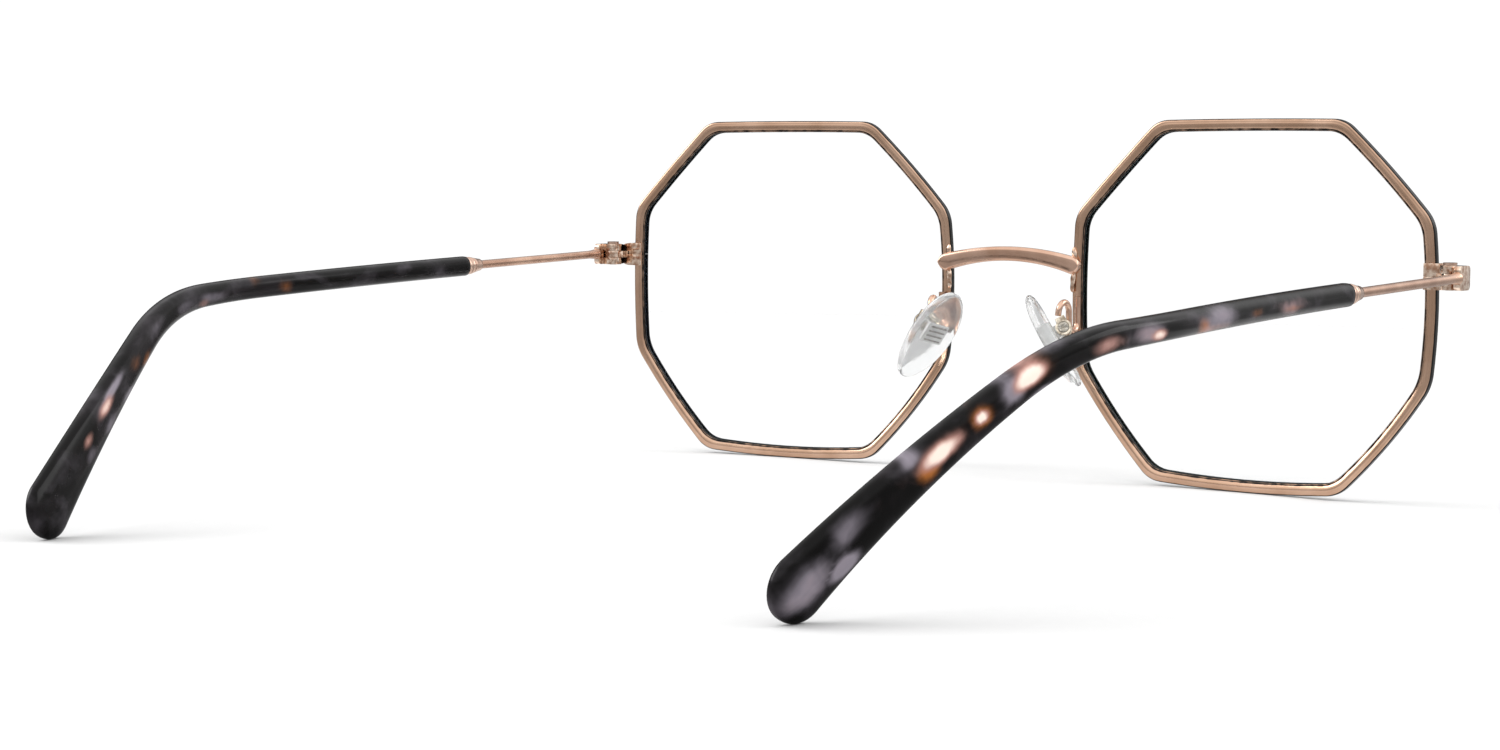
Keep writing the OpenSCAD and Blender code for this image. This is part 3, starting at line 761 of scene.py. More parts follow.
class PieceTree:
    """Geometry Nodes with named inputs for a piece's sizes, which end in a plain mesh with its finish."""

    NAME = ""
    START = "Geometry"
    SIZES: dict[str, str] = {}

    def __init__(self) -> None:
        """Builds the tree with its named inputs."""
        self.tree = bpy.data.node_groups.new(self.NAME, "GeometryNodeTree")
        self.inputs = {}
        for name, kind in {self.START: "Geometry", **self.SIZES, "Finish": "Material"}.items():
            made = self.tree.interface.new_socket(name, in_out="INPUT", socket_type="NodeSocket" + kind)
            self.inputs[name] = made.identifier
        self.tree.interface.new_socket("Piece", in_out="OUTPUT", socket_type="NodeSocketGeometry")
        given = add(self.tree, "NodeGroupInput").outputs
        real = add(self.tree, "GeometryNodeRealizeInstances", {"Geometry": self.shape(given)})
        dressed = add(self.tree, "GeometryNodeSetMaterial", {"Geometry": real, "Material": given["Finish"]})
        add(self.tree, "NodeGroupOutput", {0: dressed})

    def shape(self, given: bpy.types.bpy_prop_collection) -> Node:
        """Adds the nodes between the inputs, which are given, and the finish."""
        raise NotImplementedError

    def on(self, carrier: Object, values: dict[str, object]) -> Object:
        """Puts the tree on an object.

        Args:
            carrier: Object that gets the modifier.
            values: Value of each named input.

        Returns:
            The same object.
        """
        modifier = carrier.modifiers.new(self.NAME, "NODES")
        modifier.node_group = self.tree
        for label, value in values.items():
            modifier[self.inputs[label]] = value
        return carrier


class SweepTree(PieceTree):
    """Stretches a skin of flattened rounds over a row of stations."""

    NAME = "Sweep over stations"
    START = "Stations"
    SIZES = {"Ring points": "Int", "Squareness": "Float"}
    MERGE_M = 1e-6

    def shape(self, given: bpy.types.bpy_prop_collection) -> Node:
        """A grid with a row for each station, wrapped round it and merged where it meets.

        Args:
            given: The tree's inputs.

        Returns:
            The node with the mesh.
        """
        node, rounds = partial(add, self.tree), given["Ring points"]
        count = out(node("GeometryNodeAttributeDomainSize", {"Geometry": given["Stations"]}), "Point Count")
        columns = node("ShaderNodeMath", {0: rounds, 1: 1}, operation="ADD")
        grid = node("GeometryNodeMeshGrid", {"Vertices X": count, "Vertices Y": columns})
        index = node("GeometryNodeInputIndex")
        inside = node("ShaderNodeMath", {0: index, 1: 0.5}, operation="ADD")
        share = node("ShaderNodeMath", {0: inside, 1: columns}, operation="DIVIDE")
        row = node("ShaderNodeMath", {0: share}, operation="FLOOR")
        before = node("ShaderNodeMath", {0: row, 1: columns}, operation="MULTIPLY")
        column = node("ShaderNodeMath", {0: index, 1: before}, operation="SUBTRACT")
        part = node("ShaderNodeMath", {0: column, 1: 2 * math.pi}, operation="MULTIPLY")
        angle = node("ShaderNodeMath", {0: part, 1: rounds}, operation="DIVIDE")

        def station(value: Node, kind: str) -> Node:
            """What the station of a point's row has for a value."""
            return node("GeometryNodeSampleIndex", {
                "Geometry": given["Stations"], "Value": value, "Index": row}, data_type=kind)

        def marked(name: str, kind: str = "FLOAT") -> Node:
            """What the station of a point's row has under a name."""
            return station(node("GeometryNodeInputNamedAttribute", {"Name": name}, data_type=kind), kind)

        centre = station(node("GeometryNodeInputPosition"), "FLOAT_VECTOR")
        along = {0: marked("run")}
        for place, wave, half, way in ((1, "COSINE", "half_t", "across"), (2, "SINE", "half_h", "upward")):
            swing = node("ShaderNodeMath", {0: angle}, operation=wave)
            sign = node("ShaderNodeMath", {0: swing}, operation="SIGN")
            size = node("ShaderNodeMath", {0: swing}, operation="ABSOLUTE")
            full = node("ShaderNodeMath", {0: size, 1: given["Squareness"]}, operation="POWER")
            squared = node("ShaderNodeMath", {0: sign, 1: full}, operation="MULTIPLY")
            offset = node("ShaderNodeMath", {0: squared, 1: marked(half)}, operation="MULTIPLY")
            step = node("ShaderNodeVectorMath", {
                0: marked(way, "FLOAT_VECTOR"), "Scale": offset}, operation="SCALE")
            centre = node("ShaderNodeVectorMath", {0: centre, 1: step}, operation="ADD")
            along[place] = node("ShaderNodeMath", {0: offset, 1: MM}, operation="DIVIDE")
        kept = node("GeometryNodeStoreNamedAttribute", {
            "Geometry": grid, "Name": "sleeve", "Value": node("ShaderNodeCombineXYZ", along)},
            data_type="FLOAT_VECTOR", domain="POINT")
        placed = node("GeometryNodeSetPosition", {"Geometry": kept, "Position": centre})
        return node("GeometryNodeMergeByDistance", {"Geometry": placed, "Distance": self.MERGE_M})

    def sweep(self, name: str, stations: Stations, side: Side, on_temple: bool, finish: Finish,
              ring_points: int, squareness: float = 1.0) -> Object:
        """Makes one swept piece.

        Args:
            name: Name of the piece.
            stations: Stations that it passes through.
            side: Side that the piece is on.
            on_temple: Whether the piece swings with the temple.
            finish: Its finish.
            ring_points: Points round the sweep.
            squareness: 1 for round, less for a section with fuller corners.

        Returns:
            The plain piece.
        """
        carrier = stations.object(name + ".stations", side, on_temple)
        return baked(self.on(carrier, {
            "Ring points": ring_points, "Squareness": squareness, "Finish": finish.material()}), name)


class ScrewTree(PieceTree):
    """Makes a slotted screw with its shank."""

    NAME = "Slotted screw"
    LENGTHS = ("Head radius", "Head height", "Shank radius", "Shank length")
    SIZES = {**dict.fromkeys(LENGTHS, "Float"), "Seat": "Vector", "Turn": "Vector"}
    SLOT_LENGTH = 4
    SLOT_WIDTH = 0.25
    EDGE_MM = 0.04

    def shape(self, given: bpy.types.bpy_prop_collection) -> Node:
        """Head and shank in one, with a slot half as deep as the head, set on its seat.

        Args:
            given: The tree's inputs.

        Returns:
            The node with the mesh.
        """
        node = partial(add, self.tree)
        radius, height, shank_radius, length = (given[name] for name in self.LENGTHS)

        def raised(mesh: Node, lift: Node | Socket) -> Socket:
            """A mesh moved up."""
            return out(node("GeometryNodeTransform", {
                "Geometry": mesh, "Translation": node("ShaderNodeCombineXYZ", {2: lift})}))

        head = node("GeometryNodeMeshCylinder", {"Vertices": 48, "Radius": radius, "Depth": height})
        shank = node("GeometryNodeMeshCylinder", {"Vertices": 32, "Radius": shank_radius, "Depth": length})
        slot_sizes = [node("ShaderNodeMath", {0: radius, 1: factor}, operation="MULTIPLY")
                      for factor in (self.SLOT_LENGTH, self.SLOT_WIDTH)]
        slot = node("GeometryNodeMeshCube", {
            "Size": node("ShaderNodeCombineXYZ", dict(enumerate([*slot_sizes, height])))})
        half_head, half_shank = (
            node("ShaderNodeMath", {0: size, 1: 0.5}, operation="MULTIPLY") for size in (height, length))
        whole = node("GeometryNodeMeshBoolean", {1: raised(head, half_head)}, operation="UNION")
        sunk = node("ShaderNodeMath", {0: half_head, 1: half_shank}, operation="SUBTRACT")
        self.tree.links.new(raised(shank, sunk), whole.inputs[1])
        cut = node("GeometryNodeMeshBoolean", {"Mesh 1": whole}, operation="DIFFERENCE")
        self.tree.links.new(raised(slot, height), cut.inputs[1])
        return node("GeometryNodeTransform", {
            "Geometry": cut, "Translation": given["Seat"], "Rotation": given["Turn"]})

    def screw(self, name: str, seat: np.ndarray, axis: np.ndarray,
              sizes: tuple[float, float, float, float]) -> Object:
        """Makes one screw.

        Args:
            name: Name of the piece.
            seat: Where its head rests, in metres in the row frame.
            axis: Which way its head faces.
            sizes: Head radius and height, shank radius and length, in millimetres.

        Returns:
            The plain piece.
        """
        carrier = new_object(name + ".seat", bpy.data.meshes.new(name + ".seat"))
        turn = Vector(axis).to_track_quat("Z", "Y").to_euler()
        self.on(carrier, {
            **{label: size * MM for label, size in zip(self.LENGTHS, sizes)},
            "Seat": tuple(seat), "Turn": tuple(turn), "Finish": SCREW_STEEL.material()})
        return rounded_edges(carrier, name, self.EDGE_MM, 35, 2)


class RibTree(PieceTree):
    """Lays a row of round ribs side by side."""

    NAME = "Row of ribs"
    SIZES = {"Count": "Int", "Pitch": "Float", "Radius": "Float", "Length": "Float", "Seat": "Vector",
             "Turn": "Vector"}

    def shape(self, given: bpy.types.bpy_prop_collection) -> Node:
        """A lying rib on each point of a line, set on its seat.

        Args:
            given: The tree's inputs.

        Returns:
            The node with the ribs.
        """
        node = partial(add, self.tree)
        step = node("ShaderNodeCombineXYZ", {2: given["Pitch"]})
        line = node("GeometryNodeMeshLine", {"Count": given["Count"], "Offset": step})
        rib = node("GeometryNodeMeshCylinder", {
            "Vertices": 16, "Radius": given["Radius"], "Depth": given["Length"]})
        row = node("GeometryNodeInstanceOnPoints", {
            "Points": line, "Instance": rib, "Rotation": (math.pi / 2, 0.0, 0.0)})
        return node("GeometryNodeTransform", {
            "Geometry": row, "Translation": given["Seat"], "Rotation": given["Turn"]})

    def ribs(self, name: str, seat: np.ndarray, turn: np.ndarray, count: int, pitch: float,
             size: tuple[float, float]) -> Object:
        """Makes one row of ribs.

        Args:
            name: Name of the piece.
            seat: Middle of the first rib, in metres in the row frame.
            turn: Matrix whose second column runs along the ribs and whose third goes from rib to rib.
            count: Number of ribs.
            pitch: Distance between them in millimetres.
            size: Radius and length of a rib in millimetres.

        Returns:
            The plain piece.
        """
        carrier = new_object(name + ".seat", bpy.data.meshes.new(name + ".seat"))
        return baked(self.on(carrier, {
            "Count": count, "Pitch": pitch * MM, "Radius": size[0] * MM, "Length": size[1] * MM,
            "Seat": tuple(seat), "Turn": tuple(Matrix(turn).to_euler()), "Finish": RIBS.material()}), name)


# ---------------------------------------------------------------- front


@dataclass(frozen=True)
class Outline:
    """Octagonal outline of the rims on the curve that rims and lenses share."""

    eye_w: float = 52
    eye_h: float = 49.4
    gap: float = 22
    top_flat: float = 27.7
    bottom_flat: float = 28.4
    side_flat: float = 22
    side_rise: float = 1.3
    bows: tuple = (0.58, 0.52, 0.22, 0.14, 0.22, 0.52, 0.58, 0.68)
    corner_run: float = 1.7
    radius: float = 144
    wrap: float = 4.6
    lip: float = 1.17
    bow_steps: int = 14
    corner_steps: int = 10

    @property
    def lens_x(self) -> float:
        """Distance of the lens middle from the middle of the nose."""
        return (self.eye_w + self.gap) / 2

    @property
    def half_u(self) -> float:
        """Half-width at the ends of the upright runs."""
        return self.eye_w / 2 + self.lip - self.bows[1]

    @property
    def half_v(self) -> float:
        """Half-height over the rims."""
        return self.eye_h / 2 + self.lip

    def corners(self) -> np.ndarray:
        """The eight corners, counter-clockwise from the lower one at the temple.

        Returns:
            Pairs of numbers in the outline's plane.
        """
        low, high = self.side_rise - self.side_flat / 2, self.side_rise + self.side_flat / 2
        bottom, top = self.bows[7] - self.half_v, self.half_v - self.bows[3]
        b, t, u = self.bottom_flat / 2, self.top_flat / 2, self.half_u
        return np.array([
            [b, bottom], [u, low], [u, high], [t, top], [-t, top], [-u, high], [-u, low], [-b, bottom]])

    @staticmethod
    def inward(a: np.ndarray, b: np.ndarray) -> np.ndarray:
        """Unit vector at right angles to a run, into the outline."""
        v = np.array([a[1] - b[1], b[0] - a[0]])
        return v / np.linalg.norm(v)

    def corner(self, i: int, d: float) -> np.ndarray:
        """Corner i with both of its runs moved in by d.

        Args:
            i: Number of the corner.
            d: Distance by which it is moved in.

        Returns:
            A pair of numbers.
        """
        c = self.corners()
        before, after = self.inward(c[(i + 7) % 8], c[i % 8]), self.inward(c[i % 8], c[(i + 1) % 8])
        return c[i % 8] + d * (before + after) / (1 + before @ after)

    def on_run(self, i: int, d: float, t: np.ndarray) -> np.ndarray:
        """Points at the shares t along run i, bowed out.

        Args:
            i: Number of the run.
            d: Distance by which it is moved in.
            t: Shares of its length.

        Returns:
            The points, row by row.
        """
        a, b = self.corner(i, d), self.corner(i + 1, d)
        t = np.atleast_1d(t)[:, None]
        return a + (b - a) * t - 4 * t * (1 - t) * self.bows[i % 8] * self.inward(a, b)

    def share(self, i: int, d: float) -> float:
        """Share of a run that each corner round takes."""
        return self.corner_run / np.linalg.norm(self.corner(i + 1, d) - self.corner(i, d))

    def round(self, i: int, d: float) -> np.ndarray:
        """Points of the round between run i and the next, without its ends.

        Args:
            i: Number of the run.
            d: Distance by which it is moved in.

        Returns:
            The points, row by row.
        """
        t = (np.arange(1, self.corner_steps) / self.corner_steps)[:, None]
        a = self.on_run(i, d, 1 - self.share(i, d))
        b = self.on_run(i + 1, d, self.share((i + 1) % 8, d))
        return (1 - t) ** 2 * a + 2 * t * (1 - t) * self.corner(i + 1, d) + t * t * b

    def loop(self, d: float) -> np.ndarray:
        """The whole outline, moved in by d.

        Args:
            d: Distance by which it is moved in.

        Returns:
            The points, row by row.
        """
        rows = []
        for i in range(8):
            c = self.share(i, d)
            rows += [self.on_run(i, d, np.linspace(c, 1 - c, self.bow_steps + 1)), self.round(i, d)]
        return np.vstack(rows)

    def split_loop(self, d: float, low: float, high: float) -> np.ndarray:
        """The outline moved in by d, open on the temple side between two heights.

        Args:
            d: Distance by which it is moved in.
            low: Lower height of the opening.
            high: Upper one.

        Returns:
            The points, row by row.
        """
        a, b = self.corner(1, d), self.corner(2, d)
        shares = [(v - a[1]) / (b[1] - a[1]) for v in (high, low)]
        c = self.share(1, d)
        rows = [self.on_run(1, d, np.linspace(shares[0], 1 - c, 8)), self.round(1, d)]
        for i in (2, 3, 4, 5, 6, 7, 0):
            e = self.share(i, d)
            rows += [self.on_run(i, d, np.linspace(e, 1 - e, self.bow_steps + 1)), self.round(i, d)]
        rows.append(self.on_run(1, d, np.linspace(c, shares[1], 10)))
        return np.vstack(rows)

    def lift(self, uv: np.ndarray, depth: float | np.ndarray) -> np.ndarray:
        """Points of the outline's plane at a depth ahead of the rims' back, in the front frame.

        Args:
            uv: Points in the plane, row by row.
            depth: Depth of all of them, or of each.

        Returns:
            The points, row by row.
        """
        y = self.radius - np.sqrt((self.radius + depth) ** 2 - (uv**2).sum(1))
        w = math.radians(self.wrap)
        return np.column_stack([
            self.lens_x + uv[:, 0] * math.cos(w) - y * math.sin(w),
            uv[:, 0] * math.sin(w) + y * math.cos(w), uv[:, 1]])


def arc(centre: tuple[float, float], size: tuple[float, float], start: float, end: float, steps: int) -> list:
    """Points of an elliptic arc.

    Args:
        centre: Its middle.
        size: Its two radii.
        start: First angle in degrees.
        end: Last angle in degrees.
        steps: Number of steps.

    Returns:
        Pairs of numbers.
    """
    angles = np.radians(np.linspace(start, end, steps + 1))
    return [(centre[0] + size[0] * math.cos(a), centre[1] + size[1] * math.sin(a)) for a in angles]


@dataclass
class Eyewire:
    """One rim with its lens."""

    side: Side
    outline: Outline = field(default_factory=Outline)
    width: float = 1.67
    depth: float = 1.56
    groove: tuple[float, float] = (0.43, 1.13)
    groove_depth: float = 0.5
    crown: float = 0.12
    paint_lines: tuple[float, float] = (0.23, 0.075)
    split: tuple[float, float] = (4.98, 5.02)
    lens_t: float = 1.3
    edge_t: float = 0.6
    gap: float = 0.05

    def section(self) -> np.ndarray:
        """Section of the rim wire: distance in from its outer edge, and depth ahead of its back.

        Returns:
            Pairs of numbers, in order round the section.
        """
        w, d, c = self.width, self.depth, self.crown
        middle = 0.94
        rear = [(n, c * ((n - middle) / 0.52) ** 2) for n in np.linspace(0.44, 1.44, 9)]
        front = [(n, d - c * ((n - middle) / 0.62) ** 2) for n in np.linspace(1.5, 0.36, 9)]
        floor = w - self.groove_depth
        points = arc((0.44, 0.5), (0.44, 0.5 - c), 180, 270, 7)[:-1] + rear
        points += arc((w - 0.17, 0.23), (0.17, 0.17), 290, 360, 4)
        points += [(w, self.groove[0]), (floor, self.groove[0]), (floor, self.groove[1]), (w, self.groove[1])]
        points += arc((w - 0.14, d - 0.2), (0.14, 0.15), 0, 70, 3) + front
        points += arc((0.36, d - 0.38), (0.36, 0.36 - c * 0.5), 90, 180, 6)[1:]
        return np.array(points)

    def rim(self) -> Object:
        """The rim wire, swept round the outline and open where it closes on its screw.

        Returns:
            The plain piece.
        """
        section = self.section()
        rings = [self.outline.lift(self.outline.split_loop(n, *self.split), d) for n, d in section]
        points = np.stack(rings, 1)
        rows, columns = points.shape[:2]
        line = np.where(section[:, 0] < self.width / 2, *self.paint_lines)
        paint = np.tile(section[:, 1] - line, rows)
        return mesh_piece(self.side.piece("Rim"), STAND.place(points.reshape(-1, 3), self.side),
                          skin_faces(rows, columns), 50, marks={"lacquer": paint})

    def lens(self) -> Object:
        """The lens: two curved faces and an edge that steps down into the groove.

        Returns:
            The plain piece.
        """
        inner, outer = self.width + self.gap, self.width - self.groove_depth + self.gap
        middle = sum(self.groove) / 2
        back, front = middle - self.lens_t / 2, middle + self.lens_t / 2
        low, high = middle - self.edge_t / 2, middle + self.edge_t / 2
        body, edge = self.outline.loop(inner), self.outline.loop(outer)
        shares = (0.02, 0.2, 0.4, 0.6, 0.8, 0.93, 0.99)
        rings = [(body * s, back) for s in shares]
        rings += [(body, back + 0.03), (body, low), (edge, low), (edge, high), (body, high), (body, front - 0.03)]
        rings += [(body * s, front) for s in reversed(shares)]
        points = np.vstack([self.outline.lift(uv, d) for uv, d in rings])
        return mesh_piece(self.side.piece("Lens"), STAND.place(points, self.side),
                          skin_faces(len(rings), len(body)), 30)

    def build(self) -> None:
        """Makes, dresses and hands over the rim and the lens."""
        body = Body.FRONT.on(self.side)
        deliver(self.rim(), RIM_PLATING, "rim_metal", body, f"rim_{self.side.tag}")
        deliver(self.lens(), LENS, "clear_lens", body, f"lens_{self.side.tag}")


@dataclass
class Bridge:
    """The arched bar between the rims, with the solder at its ends."""

    tree: SweepTree
    height: float = 2.1
    end_height: float = 2.6
    thickness: float = 1.3
    rise: float = 6.45
    radius: float = 36
    end_x: float = 10.01009
    back: float = 0.569118
    corner: float = 0.5
    solder_reach: tuple[float, float] = (1.2, -5.4)
    solder_half: tuple[float, float] = (0.62, 0.36)

    def middle(self, x: float) -> tuple[float, float]:
        """Height of the bar's middle line at x, and half of the bar's height there.

        Args:
            x: Distance from the middle of the nose.

        Returns:
            The two heights.
        """
        flare = (self.end_height - self.height) / self.end_x**2
        top_r, low_r = 1 / (1 / self.radius - flare), 1 / (1 / self.radius + flare)
        top = self.height / 2 - top_r + math.sqrt(top_r**2 - x * x)
        low = -self.height / 2 - low_r + math.sqrt(low_r**2 - x * x)
        return self.rise + (top + low) / 2, (top - low) / 2

    def bar(self) -> Object:
        """The bar: a rounded section along the arch, with half-round ends.

        Returns:
            The plain piece.
        """
        end_z, end_h = self.middle(self.end_x)
        cap = [(self.end_x + end_h * math.sin(a), end_z, end_h * math.cos(a))
               for a in np.radians([15, 30, 45, 60, 75, 86])]
        rows = [(-x, z, h) for x, z, h in reversed(cap)]
        rows += [(x, *self.middle(x)) for x in np.linspace(-self.end_x, self.end_x, 41)] + cap
        t, points = self.thickness / 2, []
        for x, z, h in rows:
            r = min(self.corner, h * 0.98)
            for cz, cy, a in ((h - r, t - r, 0), (r - h, t - r, 90), (r - h, r - t, 180), (h - r, r - t, 270)):
                points += [(x, self.back + t + v, z + u) for u, v in arc((cz, cy), (r, r), a, a + 90, 5)]
        faces = skin_faces(len(rows), len(points) // len(rows))
        return mesh_piece("BridgeBar", STAND.place(points), faces)

    def solder(self, side: Side) -> Object:
        """Solder that ran along the rim's edge above and below the bar.

        Args:
            side: Side that it is on.

        Returns:
            The plain piece.
        """
        rows, (high, low) = Stations(), (self.rise + reach for reach in self.solder_reach)
        for k in np.linspace(0, 1, 44):
            z = high + (low - high) * k
            lumps = 0.72 + 0.2 * math.sin(7.5 * k + 0.4) + 0.12 * math.sin(21 * k)
            swell = math.sin(math.pi * k) ** 0.45 * lumps
            lean = 0.35 + 0.16 * math.sin(5 * k)
            rows.put(np.array([self.end_x - 0.3 + lean, 0.52, z]), np.array([1, 0, 0]), np.array([0, 1, 0]),
                     self.solder_half[0] * swell, self.solder_half[1] * swell, k)
        return self.tree.sweep(side.piece("Solder"), rows, side, False, HINGE_PLATING, 24)

    def build(self) -> None:
        """Makes, dresses and hands over the bar and its solder."""
        deliver(self.bar(), BRIDGE_PLATING, "rim_metal", Body.FRONT.value, "bridge")
        for side in Side:
            deliver(self.solder(side), HINGE_PLATING, "pale_metal", Body.FRONT.value)


@dataclass
class ClosingBlock:
    """The two halves of the closing block and the screw that draws them together."""

    side: Side
    frame: dict
    middle_z: float = 5
    gap: float = 0.15

    def build(self) -> None:
        """Makes, dresses and hands over the block and its screw."""
        for half, way in (("upper", 1), ("lower", -1)):
            node = f"closing_block_{half}_{self.side.tag}"
            seam = (self.middle_z + way * self.gap / 2, self.middle_z + way * 0.015)
            name = self.side.piece(f"ClosingBlock{half.capitalize()}")
            piece = machined(self.frame, node, name, 0.12, seam)
            deliver(piece, HINGE_PLATING, "pale_metal", Body.FRONT.value, node)
        node = f"rim_screw_{self.side.tag}"
        piece = machined(self.frame, node, self.side.piece("RimScrew"), 0.03)
        deliver(piece, SCREW_STEEL, "screw_steel", Body.FRONT.value, node)


@dataclass
class Hinge:
    """Three knuckles, the end plate of the temple and the screw that they turn on."""

    side: Side
    frame: dict
    screws: ScrewTree
    tree: SweepTree
    middle_z: float = 5
    height: float = 3.2
    screw_sizes: tuple = (0.9, 0.35, 0.55, 3.45)
    seam_at: tuple[float, float] = (-0.75, -1.455)
    seam_half: tuple[float, float] = (0.72, 0.082)

    def seam(self) -> Object:
        """Flat dark sheet on the block, clear of the knuckles, that closes the view between them: painted shade in
        the hinge gap.

        Returns:
            The plain piece.
        """
        rows, (x, y) = Stations(), STAND.pin
        for k in np.linspace(0, 1, 24):
            z = self.middle_z + (k - 0.5) * (self.height - 0.1)
            swell = math.sin(math.pi * k) ** 0.1
            rows.put(np.array([x + self.seam_at[0], y + self.seam_at[1], z]), np.array([1, 0, 0]),
                     np.array([0, 1, 0]), self.seam_half[0] * swell, self.seam_half[1] * swell, k)
        return self.tree.sweep(self.side.piece("HingeSeam"), rows, self.side, False, HINGE_GAP_SHADE, 24)

    def build(self) -> None:
        """Makes, dresses and hands over the hinge."""
        tag, temple = self.side.tag, Body.TEMPLE.on(self.side)
        deliver(machined(self.frame, f"front_knuckle_{tag}", self.side.piece("FrontKnuckle"), 0.07),
                HINGE_PLATING, "pale_metal", Body.FRONT.value, f"front_knuckle_{tag}")
        deliver(machined(self.frame, f"temple_hinge_{tag}", self.side.piece("TempleHinge"), 0.14),
                HINGE_PLATING, "pale_metal", temple, f"temple_hinge_{tag}")
        # The dark sheet is painted shade that closes the gap between block and knuckles
        deliver(self.seam(), HINGE_GAP_SHADE, "pale_metal", Body.FRONT.value)
        seat = STAND.place([[*STAND.pin, self.middle_z + self.height / 2 + 0.02]], self.side, True)[0]
        axis = STAND.turn(self.side, True) @ np.array([0, 0, 1.0])
        screw = self.screws.screw(self.side.piece("HingeScrew"), seat, axis, self.screw_sizes)
        deliver(screw, TURNED_PLATING, "pale_metal", temple, f"hinge_screw_{tag}")


# ---------------------------------------------------------------- temples


@dataclass(frozen=True)
class TemplePath:
    """Line that wire and sleeve follow, by the distance s from the end plate."""

    start: tuple = (68.033, 9.01682, 5.0)
    length: float = 137.95
    bare: float = 30.5
    ferrule: float = 3.7
    bend_at: float = 88
    bend_run: float = 16
    bend_lead: float = 12
    slope: float = 1.5
    bend_slope: float = 31
    end_slope: float = 39.5
    inward: float = 22
    roll: float = 9.5

    @property
    def sleeve_at(self) -> float:
        """Where the sleeve starts."""
        return self.bare + self.ferrule

    @property
    def straight_end(self) -> float:
        """Where the straight part ends."""
        return self.bend_at - self.bend_lead

    @property
    def bend_end(self) -> float:
        """Where the bend ends."""
        return self.bend_at + self.bend_run

    def headings(self, s: float) -> tuple[np.ndarray, np.ndarray, np.ndarray]:
        """Directions ahead, across and up at s.

        Args:
            s: Distance from the end plate.

        Returns:
            The three unit vectors.
        """
        marks = [0, self.sleeve_at, self.straight_end, self.bend_at, self.bend_end, self.length]
        b = math.radians(np.interp(s, marks, [self.slope, self.slope, self.slope + 1, self.slope + 2.6,
                                              self.bend_slope, self.end_slope]))
        g = math.radians(np.interp(s, marks, [
            0.7, 0.7, -1.2, self.inward * 0.38, self.inward, self.inward - 3.8]))
        r = math.radians(np.interp(s, [self.straight_end, self.bend_end], [0, self.roll]))
        ahead = np.array([-math.sin(g) * math.cos(b), math.cos(g) * math.cos(b), -math.sin(b)])
        level = np.array([math.cos(g), math.sin(g), 0])
        across = level * math.cos(r) - np.cross(level, ahead) * math.sin(r)
        return ahead, across, np.cross(across, ahead)

    def point(self, s: float) -> np.ndarray:
        """The place at s, stepping on by one millimetre as the part's source does.

        Args:
            s: Distance from the end plate.

        Returns:
            The place in the front frame.
        """
        place = np.array(self.start)
        whole = math.floor(s)
        for i in range(1, whole + 1):
            place = place + self.headings(i - 0.5)[0]
        return place + (s - whole) * self.headings((s + whole) / 2)[0]


@dataclass(frozen=True)
class Chip:
    """A translucent chip of the marble, also used for painted highlights along the sleeve's edges: where it shows
    on the sleeve and how strongly.
    """

    at: float
    length: float
    pink: float = 0.0
    amber: float = 0.0
    smoke: float = 0.0
    rise: float = 0.0
    spread: float = 1.4


